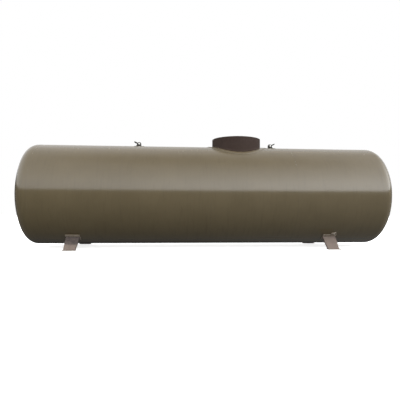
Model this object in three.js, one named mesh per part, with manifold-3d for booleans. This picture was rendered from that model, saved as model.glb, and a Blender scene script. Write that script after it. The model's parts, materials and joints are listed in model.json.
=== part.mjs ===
// Horizontal air receiver: a dished-end tank on four welded feet, with a wide collar
// around its manway and the valves, gauge and drain tube on the manway cover.
// Millimetres, +Z up, +X along the tank. The origin is on the ground under the middle.

import * as THREE from "three";
import { mergeVertices } from "three/addons/utils/BufferGeometryUtils.js";
import Module from "manifold-3d";

const wasm = await Module();
wasm.setup();

// ---- Driving dimensions -------------------------------------------------------------

const GAP = 0.3; // between pieces that touch
const DEG = Math.PI / 180;

const TANK_R = 1000; // outside radius of shell and heads
const SHELL_WALL = 12;
const HEAD_WALL = 14;
const TANGENT_X = 3384; // mid-length to the line where a head starts to curve
const HEAD_SKIRT = 50; // straight part of a head
const KNUCKLE_R = 200; // a tenth of the diameter
const CROWN_R = 2000; // equal to the diameter
const COURSES = 4;
const AXIS_Z = 1080; // tank axis above the ground
const TANK_FACETS = 48;

const COLLAR_X = 630;
const COLLAR_R = 505;
const COLLAR_WALL = 10;
const COLLAR_TOP = 1171; // above the tank axis
const RIM_RING_T = 8;
const RIM_RING_BORE_R = 450;
const PAD_R = 620; // reinforcing pad around the collar
const PAD_T = 10;
const COLLAR_FACETS = 40;

const NECK_R = 265; // manway for a person, 510 mm clear
const NECK_WALL = 10;
const NECK_LOW = 935; // above the tank axis, just inside the shell
const NECK_SHORT = 4; // the neck ends below the face of its flange
const FLANGE_R = 335;
const FLANGE_T = 28;
const FLANGE_LOW = 1040; // above the tank axis
const BOLT_CIRCLE_R = 310;
const BOLTS = 20;
const BOLT_HOLE_R = 13;
const GASKET_R = 296;
const GASKET_T = 3;
const COVER_TOP = FLANGE_LOW + FLANGE_T + GASKET_T + FLANGE_T + 2 * GAP;

const LUG_X = { left: -1409, right: 1360 };
const LUG_T = 20;
const LUG_EYE_Z = 57; // above the crest of the tank
const LUG_HEAD_R = 42;
const LUG_HOLE_R = 16.5;
const LUG_REACH = 75; // foot of the sloping edge, from the eye
const LUG_PAD_HALF_LENGTH = 105;
const LUG_PAD_HALF_WIDTH = 60;
const SHACKLE_PIN_R = 12.5;
const SHACKLE_BAR_R = 11;
const SHACKLE_JAW = 37;
const SHACKLE_LIFT = 25; // degrees above level

const FOOT_X = { left: -2641, right: 2455 }; // middle of a foot's width at the ground
const FOOT_ANGLE = 34; // degrees a foot leans out from straight down
const FOOT_LOW_HALF = 109; // half its width at the ground
const FOOT_TOP_OUT = 95; // its outer edge at the tank, towards the end of the tank
const FOOT_TOP_IN = 165; // its inner edge at the tank
const FOOT_PLATE_T = 10;
const FOOT_FLANGE = 40; // depth of its folded edges, plate included
const FOOT_BASE_T = 12;
const FOOT_PAD_FROM = 28; // degrees from straight down
const FOOT_PAD_TO = 38;
const FOOT_PAD_EDGE = 6; // pad beyond the foot on each side
const FOOT_BASE_EDGE = 12; // base plate beyond the foot
const FOOT_BASE_FRONT = 28;
const FOOT_TOE = { left: 12, right: 36 };

const NAME_PLATE_X = -900;

// ---- Materials ----------------------------------------------------------------------

const paint = (color, roughness, metalness) =>
  new THREE.MeshStandardMaterial({ color, roughness, metalness });

const OLIVE = paint(0x6e6552, 0.4, 0.1);
const BROWN = paint(0x4a413c, 0.45, 0.1);
const FOOT_GREY = paint(0x83776c, 0.6, 0.1);
const LUG_DARK = paint(0x3f3b34, 0.5, 0.2);
const GALVANISED = paint(0x9a9c98, 0.45, 0.8);
const STEEL = paint(0xa9a9a6, 0.35, 0.9);
const BRASS = paint(0xb08d4a, 0.35, 0.9);
const RUBBER = paint(0x2a2a2a, 0.8, 0);
const RED_GRIP = paint(0x9c2a20, 0.5, 0);
const WHITE_DIAL = paint(0xf0efe8, 0.6, 0);
const BLACK = paint(0x1c1c1c, 0.5, 0);
const GLASS = paint(0xdfe8ea, 0.05, 0);

// ---- Solids -------------------------------------------------------------------------

// A closed geometry as a solid, with its faces turned outward and slivers left out.
function toSolid(geometry) {
  const bare = geometry.clone();
  bare.deleteAttribute("normal");
  bare.deleteAttribute("uv");
  const welded = mergeVertices(bare, 1e-3);
  const p = welded.attributes.position.array;
  const index = welded.index.array;
  const triangles = [];
  let volume = 0;
  for (let i = 0; i < index.length; i += 3) {
    const [a, b, c] = index.slice(i, i + 3);
    if (a === b || b === c || c === a) continue;
    triangles.push([a, b, c]);
    const corner = (n) => new THREE.Vector3(p[3 * n], p[3 * n + 1], p[3 * n + 2]);
    volume += corner(a).dot(corner(b).cross(corner(c)));
  }
  const outward = volume > 0 ? triangles : triangles.map(([a, b, c]) => [a, c, b]);
  return new wasm.Manifold(
    new wasm.Mesh({
      numProp: 3,
      vertProperties: new Float32Array(p),
      triVerts: new Uint32Array(outward.flat()),
    }),
  );
}

const add = (...solids) => solids.reduce((a, b) => a.add(b));
const cut = (solid, ...tools) => tools.reduce((a, b) => a.subtract(b), solid);

// A solid moved by dx, dy, dz.
const moved = (solid, dx, dy, dz) => solid.translate([dx, dy, dz]);

// A profile of [radius, height] points turned around an axis.
function turned(profile, facets, axis = "z") {
  const points = profile.map(([r, h]) => new THREE.Vector2(r, h));
  const geometry = new THREE.LatheGeometry(points, facets);
  if (axis === "z") geometry.rotateX(90 * DEG);
  if (axis === "x") geometry.rotateZ(-90 * DEG);
  return toSolid(geometry);
}

const rod = (r, low, high, facets = 16, axis = "z") =>
  turned([[0, low], [r, low], [r, high], [0, high]], facets, axis);

const ring = (bore, r, low, high, facets = 24, axis = "z") =>
  turned([[bore, low], [r, low], [r, high], [bore, high], [bore, low]], facets, axis);

function block([x0, x1], [y0, y1], [z0, z1]) {
  const box = new THREE.BoxGeometry(x1 - x0, y1 - y0, z1 - z0);
  box.translate((x0 + x1) / 2, (y0 + y1) / 2, (z0 + z1) / 2);
  return toSolid(box);
}

const ball = (r) => toSolid(new THREE.SphereGeometry(r, 12, 8));

// Points of an arc; angles in degrees.
function arc(cx, cy, r, from, to, steps) {
  const points = [];
  for (let i = 0; i <= steps; i++) {
    const a = (from + ((to - from) * i) / steps) * DEG;
    points.push([cx + r * Math.cos(a), cy + r * Math.sin(a)]);
  }
  return points;
}

const circle = (r, n, cx = 0, cy = 0) => arc(cx, cy, r, 0, 360, n).slice(0, n);

// A flat outline, with holes, raised from height low to high along z.
function raised(outline, holes, low, high) {
  const vectors = (points) => points.map(([x, y]) => new THREE.Vector2(x, y));
  const shape = new THREE.Shape(vectors(outline));
  shape.holes = holes.map((hole) => new THREE.Path(vectors(hole)));
  const geometry = new THREE.ExtrudeGeometry(shape, {
    depth: high - low,
    bevelEnabled: false,
  });
  geometry.translate(0, 0, low);
  return geometry;
}

// The same outline drawn in x and z, raised along y from low to high.
function raisedXZ(outline, holes, low, high) {
  const geometry = raised(outline, holes, -high, -low);
  geometry.rotateX(90 * DEG);
  return toSolid(geometry);
}

// A round bar along a curve.
function bar(curve, r, steps, sides) {
  const section = new THREE.Shape();
  section.absarc(0, 0, r, 0, 2 * Math.PI);
  const geometry = new THREE.ExtrudeGeometry(section, {
    steps,
    curveSegments: sides / 2,
    bevelEnabled: false,
    extrudePath: curve,
  });
  return toSolid(geometry);
}

const curveThrough = (points) =>
  new THREE.CatmullRomCurve3(points.map((p) => new THREE.Vector3(...p)));

// A named mesh of a solid.
function piece(name, solid, material) {
  const { vertProperties, triVerts, numProp } = solid.getMesh();
  if (numProp !== 3) throw new Error(name + " has more than positions");
  const geometry = new THREE.BufferGeometry();
  geometry.setAttribute("position", new THREE.BufferAttribute(vertProperties, 3));
  geometry.setIndex(new THREE.BufferAttribute(triVerts, 1));
  geometry.computeVertexNormals();
  const mesh = new THREE.Mesh(geometry, material);
  mesh.name = name;
  return mesh;
}

function group(x, y, z, meshes) {
  const holder = new THREE.Group();
  holder.position.set(x, y, z);
  holder.add(...meshes);
  return holder;
}

// A cylinder along the tank axis, for cutting what sits on the tank.
const tankCore = (r) => rod(r, -TANGENT_X, TANGENT_X, TANK_FACETS, "x");

// ---- Tank: shell courses and dished heads -------------------------------------------

function shellCourses() {
  const length = (2 * (TANGENT_X - HEAD_SKIRT)) / COURSES;
  const bore = TANK_R - SHELL_WALL;
  const neckHole = moved(rod(NECK_R + GAP, 0, TANK_R + PAD_T, COLLAR_FACETS), COLLAR_X, 0, 0);
  const meshes = [];
  for (let i = 0; i < COURSES; i++) {
    const low = (i - COURSES / 2) * length + GAP / 2;
    const high = low + length - GAP;
    const tube = ring(bore, TANK_R, low, high, TANK_FACETS, "x");
    const holed = low < COLLAR_X && COLLAR_X < high;
    meshes.push(piece(`shell_course_${i + 1}`, holed ? cut(tube, neckHole) : tube, OLIVE));
  }
  return meshes;
}

// Half section of a head from its apex to its open edge, offset inward by wall.
function headLine(wall) {
  const knuckleCentreR = TANK_R - KNUCKLE_R;
  const tilt = Math.asin(knuckleCentreR / (CROWN_R - KNUCKLE_R)) / DEG;
  const crownCentre = HEAD_SKIRT - knuckleCentreR / Math.tan(tilt * DEG);
  const crown = arc(0, crownCentre, CROWN_R - wall, 90, 90 - tilt, 3);
  const knuckle = arc(knuckleCentreR, HEAD_SKIRT, KNUCKLE_R - wall, 90 - tilt, 0, 4);
  crown[0][0] = 0;
  return [...crown, ...knuckle.slice(1), [TANK_R - wall, GAP / 2]];
}

function heads() {
  const profile = [...headLine(0), ...headLine(HEAD_WALL).reverse()];
  const seam = TANGENT_X - HEAD_SKIRT;
  const right = piece("head_right", turned(profile, TANK_FACETS, "x"), OLIVE);
  const left = piece("head_left", turned(profile, TANK_FACETS, "x"), OLIVE);
  right.position.x = seam;
  left.position.x = -seam;
  left.rotation.z = Math.PI;
  return [left, right];
}

// ---- Collar around the manway -------------------------------------------------------

function collar() {
  const wallTop = COLLAR_TOP - RIM_RING_T - GAP;
  const wall = ring(COLLAR_R - COLLAR_WALL, COLLAR_R, 800, wallTop, COLLAR_FACETS);
  const onTank = cut(moved(wall, COLLAR_X, 0, 0), tankCore(TANK_R + GAP));
  const padRing = moved(ring(COLLAR_R + GAP, PAD_R, 700, 1100, COLLAR_FACETS), COLLAR_X, 0, 0);
  const skin = tankCore(TANK_R + GAP + PAD_T).subtract(tankCore(TANK_R + GAP));
  const rim = ring(RIM_RING_BORE_R, COLLAR_R, COLLAR_TOP - RIM_RING_T, COLLAR_TOP, COLLAR_FACETS);
  return [
    piece("reinforcing_pad", padRing.intersect(skin), OLIVE),
    piece("collar_wall", onTank, BROWN),
    piece("collar_rim_ring", moved(rim, COLLAR_X, 0, 0), BROWN),
  ];
}

// ---- Manway and its cover -----------------------------------------------------------

function boltHoles() {
  const holes = [];
  for (let i = 0; i < BOLTS; i++) {
    const a = ((i + 0.5) * 2 * Math.PI) / BOLTS;
    holes.push(circle(BOLT_HOLE_R, 6, BOLT_CIRCLE_R * Math.cos(a), BOLT_CIRCLE_R * Math.sin(a)));
  }
  return holes;
}

function manway() {
  const flangeTop = FLANGE_LOW + FLANGE_T;
  const bore = circle(NECK_R + GAP, COLLAR_FACETS);
  const disc = raised(
    circle(FLANGE_R, COLLAR_FACETS), [bore, ...boltHoles()], FLANGE_LOW, flangeTop,
  );
  const neck = ring(NECK_R - NECK_WALL, NECK_R, NECK_LOW, flangeTop - NECK_SHORT, COLLAR_FACETS);
  const gasket = ring(NECK_R, GASKET_R, flangeTop + GAP, flangeTop + GAP + GASKET_T, 32);
  return group(COLLAR_X, 0, 0, [
    piece("manway_neck", neck, OLIVE),
    piece("manway_flange", toSolid(disc), BROWN),
    piece("manway_gasket", gasket, RUBBER),
  ]);
}

// Where the pipes pass the cover, from the centre of its top, and their ends below and above.
const THREAD_LOW = -FLANGE_T - 6;
const PIPE_TOP = 34;
const DIP_LOW = -(COVER_TOP + TANK_R - SHELL_WALL - 20); // 20 above the tank's floor
const INLET = { x: -20, y: -130, r: 30.15, bore: 26, low: -60, high: 64 };
const OUTLET = { x: -20, y: 150, r: 30.15, bore: 26, low: -60, high: PIPE_TOP };
const DRAIN = { x: 60, y: 0, r: 16.85, bore: 13.5, low: DIP_LOW, high: PIPE_TOP };
const RELIEF = { x: 190, y: 0, r: 17, bore: 11, low: THREAD_LOW, high: 29 };
const GAUGE = { x: -175, y: 0, r: 8, bore: 3.5, low: THREAD_LOW };
const HANDLE_Y = 262;

function manwayCover() {
  const pipes = [INLET, OUTLET, DRAIN, RELIEF, GAUGE];
  const holes = pipes.map(({ x, y, r }) => circle(r + GAP, 16, x, y));
  const outline = circle(FLANGE_R, COLLAR_FACETS);
  const disc = raised(outline, [...boltHoles(), ...holes], -FLANGE_T, 0);
  return piece("manway_cover", toSolid(disc), BROWN);
}

// A bent round bar to lift the cover by, with a round foot under each end.
function coverHandle(name, y) {
  const span = 60;
  const height = 52;
  const barR = 7;
  const barLow = 4;
  const crown = 2; // the middle of the grip stands higher
  const bend = 14;
  const footR = 13;
  const footT = 8;
  const curve = curveThrough([
    [-span, 0, barLow],
    [-span, 0, height - bend],
    [-span + bend, 0, height],
    [0, 0, height + crown],
    [span - bend, 0, height],
    [span, 0, height - bend],
    [span, 0, barLow],
  ]);
  const foot = rod(footR, GAP, footT, 12);
  const feet = add(moved(foot, -span, 0, 0), moved(foot, span, 0, 0));
  const mesh = piece(name, add(bar(curve, barR, 14, 6), feet), BROWN);
  mesh.position.y = y;
  return mesh;
}

// A length of pipe through the cover.
function coverPipe(name, { x, y, r, bore, low, high }) {
  const mesh = piece(name, ring(bore, r, low, high, 16), STEEL);
  mesh.position.set(x, y, 0);
  return mesh;
}

function inletFlange() {
  const flangeR = 82.5;
  const boltCircle = 62.5;
  const boltR = 9;
  const low = 48;
  const high = 66;
  const holes = [circle(INLET.r + GAP, 16)];
  for (let i = 0; i < 4; i++) {
    const a = (45 + 90 * i) * DEG;
    holes.push(circle(boltR, 8, boltCircle * Math.cos(a), boltCircle * Math.sin(a)));
  }
  const disc = raised(circle(flangeR, 32), holes, low, high);
  const mesh = piece("inlet_flange", toSolid(disc), STEEL);
  mesh.position.set(INLET.x, INLET.y, 0);
  return mesh;
}

// A lever ball valve on an upright pipe. The stem points to -y and the lever is level,
// across the pipe, when the valve is shut. Heights are from the centre of the ball.
function ballValve(name, pipe, pipeTop, size) {
  const { ballR, bore, half, bodyR, endR, bossR, stemR, bossY, leverLength, leverW } = size;
  const leverT = 6;
  const stemProud = 8; // stem beyond the lever
  const hubR = 1.9 * stemR;
  const stemClear = 0.6;
  const seatClear = 2.2;
  const shoulder = 0.35 * half;
  const chamfer = 0.65 * half;
  const shell = turned(
    [[0, -half], [endR, -half], [endR, -chamfer], [bodyR, -shoulder],
      [bodyR, shoulder], [endR, chamfer], [endR, half], [0, half]], 16,
  );
  const boss = rod(bossR, -bossY, 0, 12, "y");
  const flow = rod(bore, -half - 1, half + 1, 16);
  const stemHole = rod(stemR + stemClear, -bossY - 1, 0, 16, "y");
  const body = cut(add(shell, boss), flow, ball(ballR + seatClear), stemHole);

  const leverNear = -bossY - GAP;
  const leverFar = leverNear - leverT;
  const stem = rod(stemR, leverFar - stemProud, 0, 16, "y");
  const shutBall = cut(ball(ballR), rod(0.9 * bore, -2 * ballR, 2 * ballR, 16, "x"));
  const hub = rod(hubR, leverFar, leverNear, 12, "y");
  const arm = block([0, leverLength], [leverFar, leverNear], [-leverW / 2, leverW / 2]);
  const stemEye = rod(stemR + GAP, leverFar - 1, leverNear + 1, 16, "y");

  const gripT = 2.4;
  const gripStart = 0.35 * leverLength;
  const sleeve = block([gripStart, leverLength + gripT + GAP],
    [leverFar - gripT - GAP, leverNear + gripT + GAP],
    [-leverW / 2 - gripT - GAP, leverW / 2 + gripT + GAP]);
  const socket = block([0, leverLength + GAP], [leverFar - GAP, leverNear + GAP],
    [-leverW / 2 - GAP, leverW / 2 + GAP]);
  return group(pipe.x, pipe.y, pipeTop + GAP + half, [
    piece(`${name}_valve_body`, body, BRASS),
    piece(`${name}_valve_ball`, add(shutBall, stem), STEEL),
    piece(`${name}_valve_lever`, cut(add(hub, arm), stemEye), STEEL),
    piece(`${name}_valve_grip`, cut(sleeve, socket), RED_GRIP),
  ]);
}

// A spring-loaded relief valve on its own short pipe, blowing off towards +x.
// Heights are above the cover.
function reliefValve() {
  const bodyLow = 18;
  const hexR = 24;
  const hexTop = 30;
  const seatTop = 44;
  const waistR = 19;
  const waistTop = 66;
  const shoulderR = 23;
  const bodyTop = 78;
  const neckTaper = 4;
  const bonnetShoulder = 124;
  const bonnetTopR = 12;
  const bonnetTop = 132;
  const outletZ = 52;
  const outletReach = 46;
  const outletR = 15;
  const outletBore = 10;
  const spindleR = 4;
  const spindleTop = bonnetTop + 12;
  const spindleClear = 0.6;
  const discR = 13;
  const discTop = seatTop + 5;
  const plateZ = 66; // where the spring presses on the spindle
  const plateT = 3;
  const springRoomR = 15.5;
  const springTop = 122;
  const outside = turned(
    [[0, bodyLow], [hexR, bodyLow], [hexR, hexTop], [waistR, hexTop + neckTaper],
      [waistR, waistTop], [shoulderR, waistTop + neckTaper], [shoulderR, bodyTop],
      [0, bodyTop]], 12,
  );
  const body = cut(
    add(outside, moved(rod(outletR, 0, outletReach, 12, "x"), 0, 0, outletZ)),
    rod(RELIEF.r + GAP, bodyLow - 1, hexTop, 16),
    rod(RELIEF.bore, bodyLow - 1, seatTop + 1, 16),
    rod(springRoomR, seatTop, bodyTop + 1, 16),
    moved(rod(outletBore, 0, outletReach + 1, 12, "x"), 0, 0, outletZ),
  );
  const bonnet = cut(
    turned([[0, bodyTop + GAP], [waistR, bodyTop + GAP], [waistR, bonnetShoulder],
      [bonnetTopR, bonnetTop], [0, bonnetTop]], 12),
    rod(springRoomR, bodyTop, springTop, 16),
    rod(spindleR + spindleClear, springTop - 1, bonnetTop + 1, 12),
  );
  const spindle = add(
    rod(discR, seatTop + GAP, discTop, 16),
    rod(spindleR, seatTop + 1, spindleTop, 12),
    rod(discR, plateZ, plateZ + plateT, 16),
  );
  const pullRingR = 13;
  const pullRingWire = 2;
  const pullRing = new THREE.TorusGeometry(pullRingR, pullRingWire, 6, 12);
  pullRing.rotateX(90 * DEG);
  pullRing.translate(0, 0, bonnetTop + 22);
  const turns = 5;
  const stepsPerTurn = 8;
  const coilR = 10;
  const wire = 1.6;
  const springLow = plateZ + plateT + GAP + wire;
  const springHigh = springTop - GAP - wire;
  const coil = [];
  for (let i = 0; i <= turns * stepsPerTurn; i++) {
    const a = (i * 2 * Math.PI) / stepsPerTurn;
    const rise = (i / (turns * stepsPerTurn)) * (springHigh - springLow);
    coil.push([coilR * Math.cos(a), coilR * Math.sin(a), springLow + rise]);
  }
  const spring = bar(curveThrough(coil), wire, turns * stepsPerTurn, 4);
  return group(RELIEF.x, RELIEF.y, 0, [
    piece("relief_valve_body", body, BRASS),
    piece("relief_valve_bonnet", bonnet, BRASS),
    piece("relief_valve_spring", spring, STEEL),
    piece("relief_valve_spindle", add(spindle, toSolid(pullRing)), STEEL),
  ]);
}

// A dial gauge lying face up on its stem. The pointer rests on the low stop of the dial.
// Heights are above the cover.
function gauge() {
  const caseR = 50;
  const caseWall = 3;
  const rimW = 6; // the rim hides the edge of the glass
  const edge = 4; // rounding of the back
  const low = 72;
  const floorZ = low + edge;
  const dialZ = 78;
  const pointerZ = 84;
  const glassZ = 94;
  const glassT = 2.5;
  const lipZ = glassZ + 3;
  const high = 100;
  const lowStop = 225; // degrees from +x, the dial's zero
  const cup = turned(
    [[0, low], [caseR - edge, low], [caseR, floorZ], [caseR, high], [caseR - rimW, high],
      [caseR - rimW, lipZ], [caseR - caseWall, lipZ], [caseR - caseWall, floorZ],
      [0, floorZ]], 24,
  );
  const insideR = caseR - edge;
  const threadTop = 20;
  const hexLow = 18;
  const hexTop = 44;
  const hexR = 15;
  const neckR = 9;
  const thread = rod(GAUGE.r, GAUGE.low, threadTop, 16);
  const hexagon = rod(hexR, hexLow, hexTop, 6);
  const neck = rod(neckR, hexTop - 1, low - GAP, 12);
  const stem = cut(add(thread, hexagon, neck), rod(GAUGE.bore, GAUGE.low - 1, low, 12));
  const tail = 12;
  const tailW = 2.4;
  const hubW = 3;
  const tip = 36;
  const tipW = 0.5;
  const needle = raised(
    [[-tail, -tailW], [0, -hubW], [tip, -tipW], [tip, tipW], [0, hubW], [-tail, tailW]],
    [], 0, 1.2,
  );
  const pointer = add(toSolid(needle), rod(4.5, -0.5, 3, 12));
  const pointerMesh = piece("gauge_pointer", pointer, BLACK);
  pointerMesh.position.z = pointerZ;
  pointerMesh.rotation.z = lowStop * DEG;
  return group(GAUGE.x, GAUGE.y, 0, [
    piece("gauge_stem", stem, BRASS),
    piece("gauge_case", cup, STEEL),
    piece("gauge_dial", rod(insideR, floorZ + GAP, dialZ, 24), WHITE_DIAL),
    pointerMesh,
    piece("gauge_glass", rod(insideR, glassZ, glassZ + glassT, 24), GLASS),
  ]);
}

const OUTLET_VALVE = {
  ballR: 33, bore: 24, half: 50, bodyR: 43, endR: 38, bossR: 15, stemR: 8,
  bossY: 62, leverLength: 165, leverW: 24,
};
const DRAIN_VALVE = {
  ballR: 17, bore: 12, half: 32, bodyR: 26, endR: 22, bossR: 10, stemR: 5.5,
  bossY: 38, leverLength: 100, leverW: 16,
};

function coverWithFittings() {
  return group(COLLAR_X, 0, COVER_TOP, [
    manwayCover(),
    coverHandle("cover_handle_front", -HANDLE_Y),
    coverHandle("cover_handle_rear", HANDLE_Y),
    coverPipe("inlet_pipe", INLET),
    inletFlange(),
    coverPipe("outlet_pipe", OUTLET),
    ballValve("outlet", OUTLET, PIPE_TOP, OUTLET_VALVE),
    coverPipe("drain_dip_tube", DRAIN),
    ballValve("drain", DRAIN, PIPE_TOP, DRAIN_VALVE),
    coverPipe("relief_pipe", RELIEF),
    reliefValve(),
    gauge(),
  ]);
}

// ---- Lifting lugs with their shackles -----------------------------------------------

// Out is -1 on the left and +1 on the right: the sloping edge and the shackle face out.
function liftingLug(side, out) {
  const eyeX = LUG_X[side];
  const padLow = TANK_R + GAP;
  const padHigh = padLow + PAD_T;
  const padBlock = block([eyeX - LUG_PAD_HALF_LENGTH, eyeX + LUG_PAD_HALF_LENGTH],
    [-LUG_PAD_HALF_WIDTH, LUG_PAD_HALF_WIDTH], [TANK_R / 2, TANK_R * 1.1]);
  const pad = padBlock.intersect(tankCore(padHigh).subtract(tankCore(padLow)));

  const eyeZ = TANK_R + LUG_EYE_Z;
  const sunk = 5; // the blank reaches below the crest, and is cut to the pad
  const footZ = TANK_R - sunk - eyeZ;
  const footAngle = Math.atan2(footZ, -LUG_REACH) / DEG + 360;
  const halfAngle = Math.acos(LUG_HEAD_R / Math.hypot(LUG_REACH, footZ)) / DEG;
  const head = arc(0, 0, LUG_HEAD_R, 0, footAngle - halfAngle, 9);
  const outline = [...head, [-LUG_REACH, footZ], [LUG_HEAD_R, footZ]];
  const facing = outline.map(([x, z]) => [-out * x, z]);
  const turnedRight = out > 0 ? facing.reverse() : facing;
  const hole = circle(LUG_HOLE_R, 20);
  const blank = moved(raisedXZ(turnedRight, [hole], -LUG_T / 2, LUG_T / 2), eyeX, 0, eyeZ);
  return [
    piece(`lug_pad_${side}`, pad, OLIVE),
    piece(`lifting_lug_${side}`, cut(blank, tankCore(padHigh + GAP)), LUG_DARK),
    shackle(side, out, eyeX, eyeZ),
  ];
}

// A bow shackle, made hanging along +x from its pin and then turned up by its lift.
function shackle(side, out, x, z) {
  const armY = SHACKLE_JAW / 2 + SHACKLE_BAR_R;
  const bowR = 40;
  const bowX = 67;
  const round = arc(bowX, 0, bowR, 80, -80, 6).map(([u, v]) => [u, v, 0]);
  const curve = curveThrough([
    [0, armY, 0], [22, armY + 1, 0], [45, bowR - 3, 0],
    ...round,
    [45, -bowR + 3, 0], [22, -armY - 1, 0], [0, -armY, 0],
  ]);
  const eyeR = 25;
  const eyeHalf = 11.5;
  const eye = moved(rod(eyeR, -eyeHalf, eyeHalf, 16, "y"), 0, SHACKLE_JAW / 2 + eyeHalf, 0);
  const otherEye = moved(eye, 0, -SHACKLE_JAW - 2 * eyeHalf, 0);
  const outerY = SHACKLE_JAW / 2 + 2 * eyeHalf;
  const nutR = 24; // across its corners, halved
  const nutT = 20;
  const threadEnd = 30; // beyond the bow
  const pinHeadR = 20;
  const pinHeadT = 12;
  const pinHole = rod(SHACKLE_PIN_R + GAP, -outerY - 1, outerY + nutT + 1, 16, "y");
  const bow = cut(add(bar(curve, SHACKLE_BAR_R, 20, 6), eye, otherEye), pinHole);
  const pin = add(
    rod(SHACKLE_PIN_R, -outerY - GAP, outerY + threadEnd, 16, "y"),
    rod(pinHeadR, -outerY - pinHeadT, -outerY - GAP, 12, "y"),
  );
  const nut = cut(rod(nutR, outerY + GAP, outerY + nutT, 6, "y"), pinHole);
  const holder = group(x, 0, z, [
    piece(`shackle_bow_${side}`, bow, GALVANISED),
    piece(`shackle_pin_${side}`, pin, GALVANISED),
    piece(`shackle_nut_${side}`, nut, GALVANISED),
  ]);
  holder.rotation.y = (out > 0 ? -SHACKLE_LIFT : SHACKLE_LIFT - 180) * DEG;
  return holder;
}

// ---- Feet ---------------------------------------------------------------------------

// One foot: a pad on the tank, a tapered plate with folded edges down to the ground, and a
// base plate. It is made for the front of the tank, and mirrored for the rear.
function foot(side, end) {
  const x = FOOT_X[side];
  const out = side === "left" ? -1 : 1;
  const angle = FOOT_ANGLE * DEG;
  const reach = AXIS_Z / Math.cos(angle); // from the tank axis to the ground, down the foot
  const footY = -AXIS_Z * Math.tan(angle);
  const baseTop = FOOT_BASE_T - AXIS_Z;

  const padLow = TANK_R + GAP;
  const padHigh = padLow + PAD_T;
  const padEnds = [x - out * (FOOT_TOP_IN + FOOT_PAD_EDGE), x + out * (FOOT_TOP_OUT + FOOT_PAD_EDGE)];
  const sector = [[0, 0], ...arc(0, 0, 1.3 * TANK_R, -90 - FOOT_PAD_TO, -90 - FOOT_PAD_FROM, 4)];
  const padBlank = alongX(sector, Math.min(...padEnds), Math.max(...padEnds));
  const pad = padBlank.intersect(tankCore(padHigh).subtract(tankCore(padLow)));

  // The plate lies flat in u and v, u towards the end of the tank and v down the foot.
  const first = 0.9 * TANK_R;
  const last = 1.05 * reach;
  const edge = (v, top, low) => top + ((low - top) * (v - TANK_R)) / (reach - TANK_R);
  const outer = (v) => edge(v, FOOT_TOP_OUT, FOOT_LOW_HALF);
  const inner = (v) => edge(v, -FOOT_TOP_IN, -FOOT_LOW_HALF);
  const strip = (from, to, low, high) => {
    const outline = [[from(first), first], [to(first), first], [to(last), last], [from(last), last]];
    const geometry = raised(outline, [], low, high);
    const [sin, cos] = [Math.sin(angle), Math.cos(angle)];
    const lean = new THREE.Matrix4().set(
      out, 0, 0, x, 0, -sin, cos, 0, 0, -cos, -sin, 0, 0, 0, 0, 1,
    );
    geometry.applyMatrix4(lean);
    return toSolid(geometry);
  };
  const face = -FOOT_PLATE_T / 2;
  const folded = add(
    strip(inner, outer, face, face + FOOT_PLATE_T),
    strip(inner, (v) => inner(v) + FOOT_PLATE_T, face, face + FOOT_FLANGE),
    strip((v) => outer(v) - FOOT_PLATE_T, outer, face, face + FOOT_FLANGE),
  );
  const far = 2 * TANK_R;
  const aboveBase = block([x - far, x + far], [-far, 0], [baseTop + GAP, 0]);
  const channel = cut(folded.intersect(aboveBase), tankCore(padHigh + GAP));

  const outerX = x + out * (FOOT_LOW_HALF + FOOT_TOE[side]);
  const innerX = x - out * (FOOT_LOW_HALF + FOOT_BASE_EDGE);
  const heelY = footY + (FOOT_FLANGE - FOOT_PLATE_T / 2) / Math.cos(angle) + FOOT_BASE_EDGE;
  const base = block([Math.min(outerX, innerX), Math.max(outerX, innerX)],
    [footY - FOOT_BASE_FRONT, heelY], [-AXIS_Z, baseTop]);

  const holder = new THREE.Group();
  holder.add(
    piece(`foot_pad_${side}_${end}`, pad, FOOT_GREY),
    piece(`foot_channel_${side}_${end}`, channel, FOOT_GREY),
    piece(`foot_base_${side}_${end}`, base, FOOT_GREY),
  );
  holder.scale.y = end === "rear" ? -1 : 1;
  return holder;
}

// An outline in y and z, counter-clockwise seen from +x, extruded from x0 to x1.
function alongX(outline, x0, x1) {
  const geometry = raised(outline, [], x0, x1);
  const yzx = new THREE.Matrix4().set(0, 0, 1, 0, 1, 0, 0, 0, 0, 1, 0, 0, 0, 0, 0, 1);
  geometry.applyMatrix4(yzx);
  return toSolid(geometry);
}

function feet() {
  return ["left", "right"].flatMap((side) => [foot(side, "front"), foot(side, "rear")]);
}

// ---- Name plate, blank, on its own two legs behind the tank -------------------------

function namePlate() {
  const halfLength = 75;
  const halfHeight = 50;
  const thick = 3;
  const standOff = 38;
  const legX = 60;
  const legHalfT = 3;
  const legHalfHeight = 40;
  const top = TANK_R + standOff;
  const plate = block([-halfLength, halfLength], [-halfHeight, halfHeight], [top - thick, top]);
  const legAt = (x) => block([x - legHalfT, x + legHalfT], [-legHalfHeight, legHalfHeight],
    [TANK_R - 20, top - 1]);
  const onCrest = cut(add(plate, legAt(-legX), legAt(legX)), tankCore(TANK_R + GAP));
  const mesh = piece("name_plate", onCrest, STEEL);
  mesh.position.x = NAME_PLATE_X;
  mesh.rotation.x = -45 * DEG;
  return mesh;
}

// ---- The whole receiver -------------------------------------------------------------

const receiver = new THREE.Group();
receiver.position.z = AXIS_Z;
receiver.add(
  ...shellCourses(),
  ...heads(),
  ...collar(),
  manway(),
  coverWithFittings(),
  ...liftingLug("left", -1),
  ...liftingLug("right", 1),
  ...feet(),
  namePlate(),
);

export default receiver;
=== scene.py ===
"""Looks of a horizontal pressure tank on plate feet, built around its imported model. Metres, +Z up."""

import json
from math import acos, asin, atan2, copysign, cos, degrees, exp, hypot, pi, radians, sin, sqrt, tan

import bmesh
import bpy
from mathutils import Matrix, Vector, noise


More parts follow.
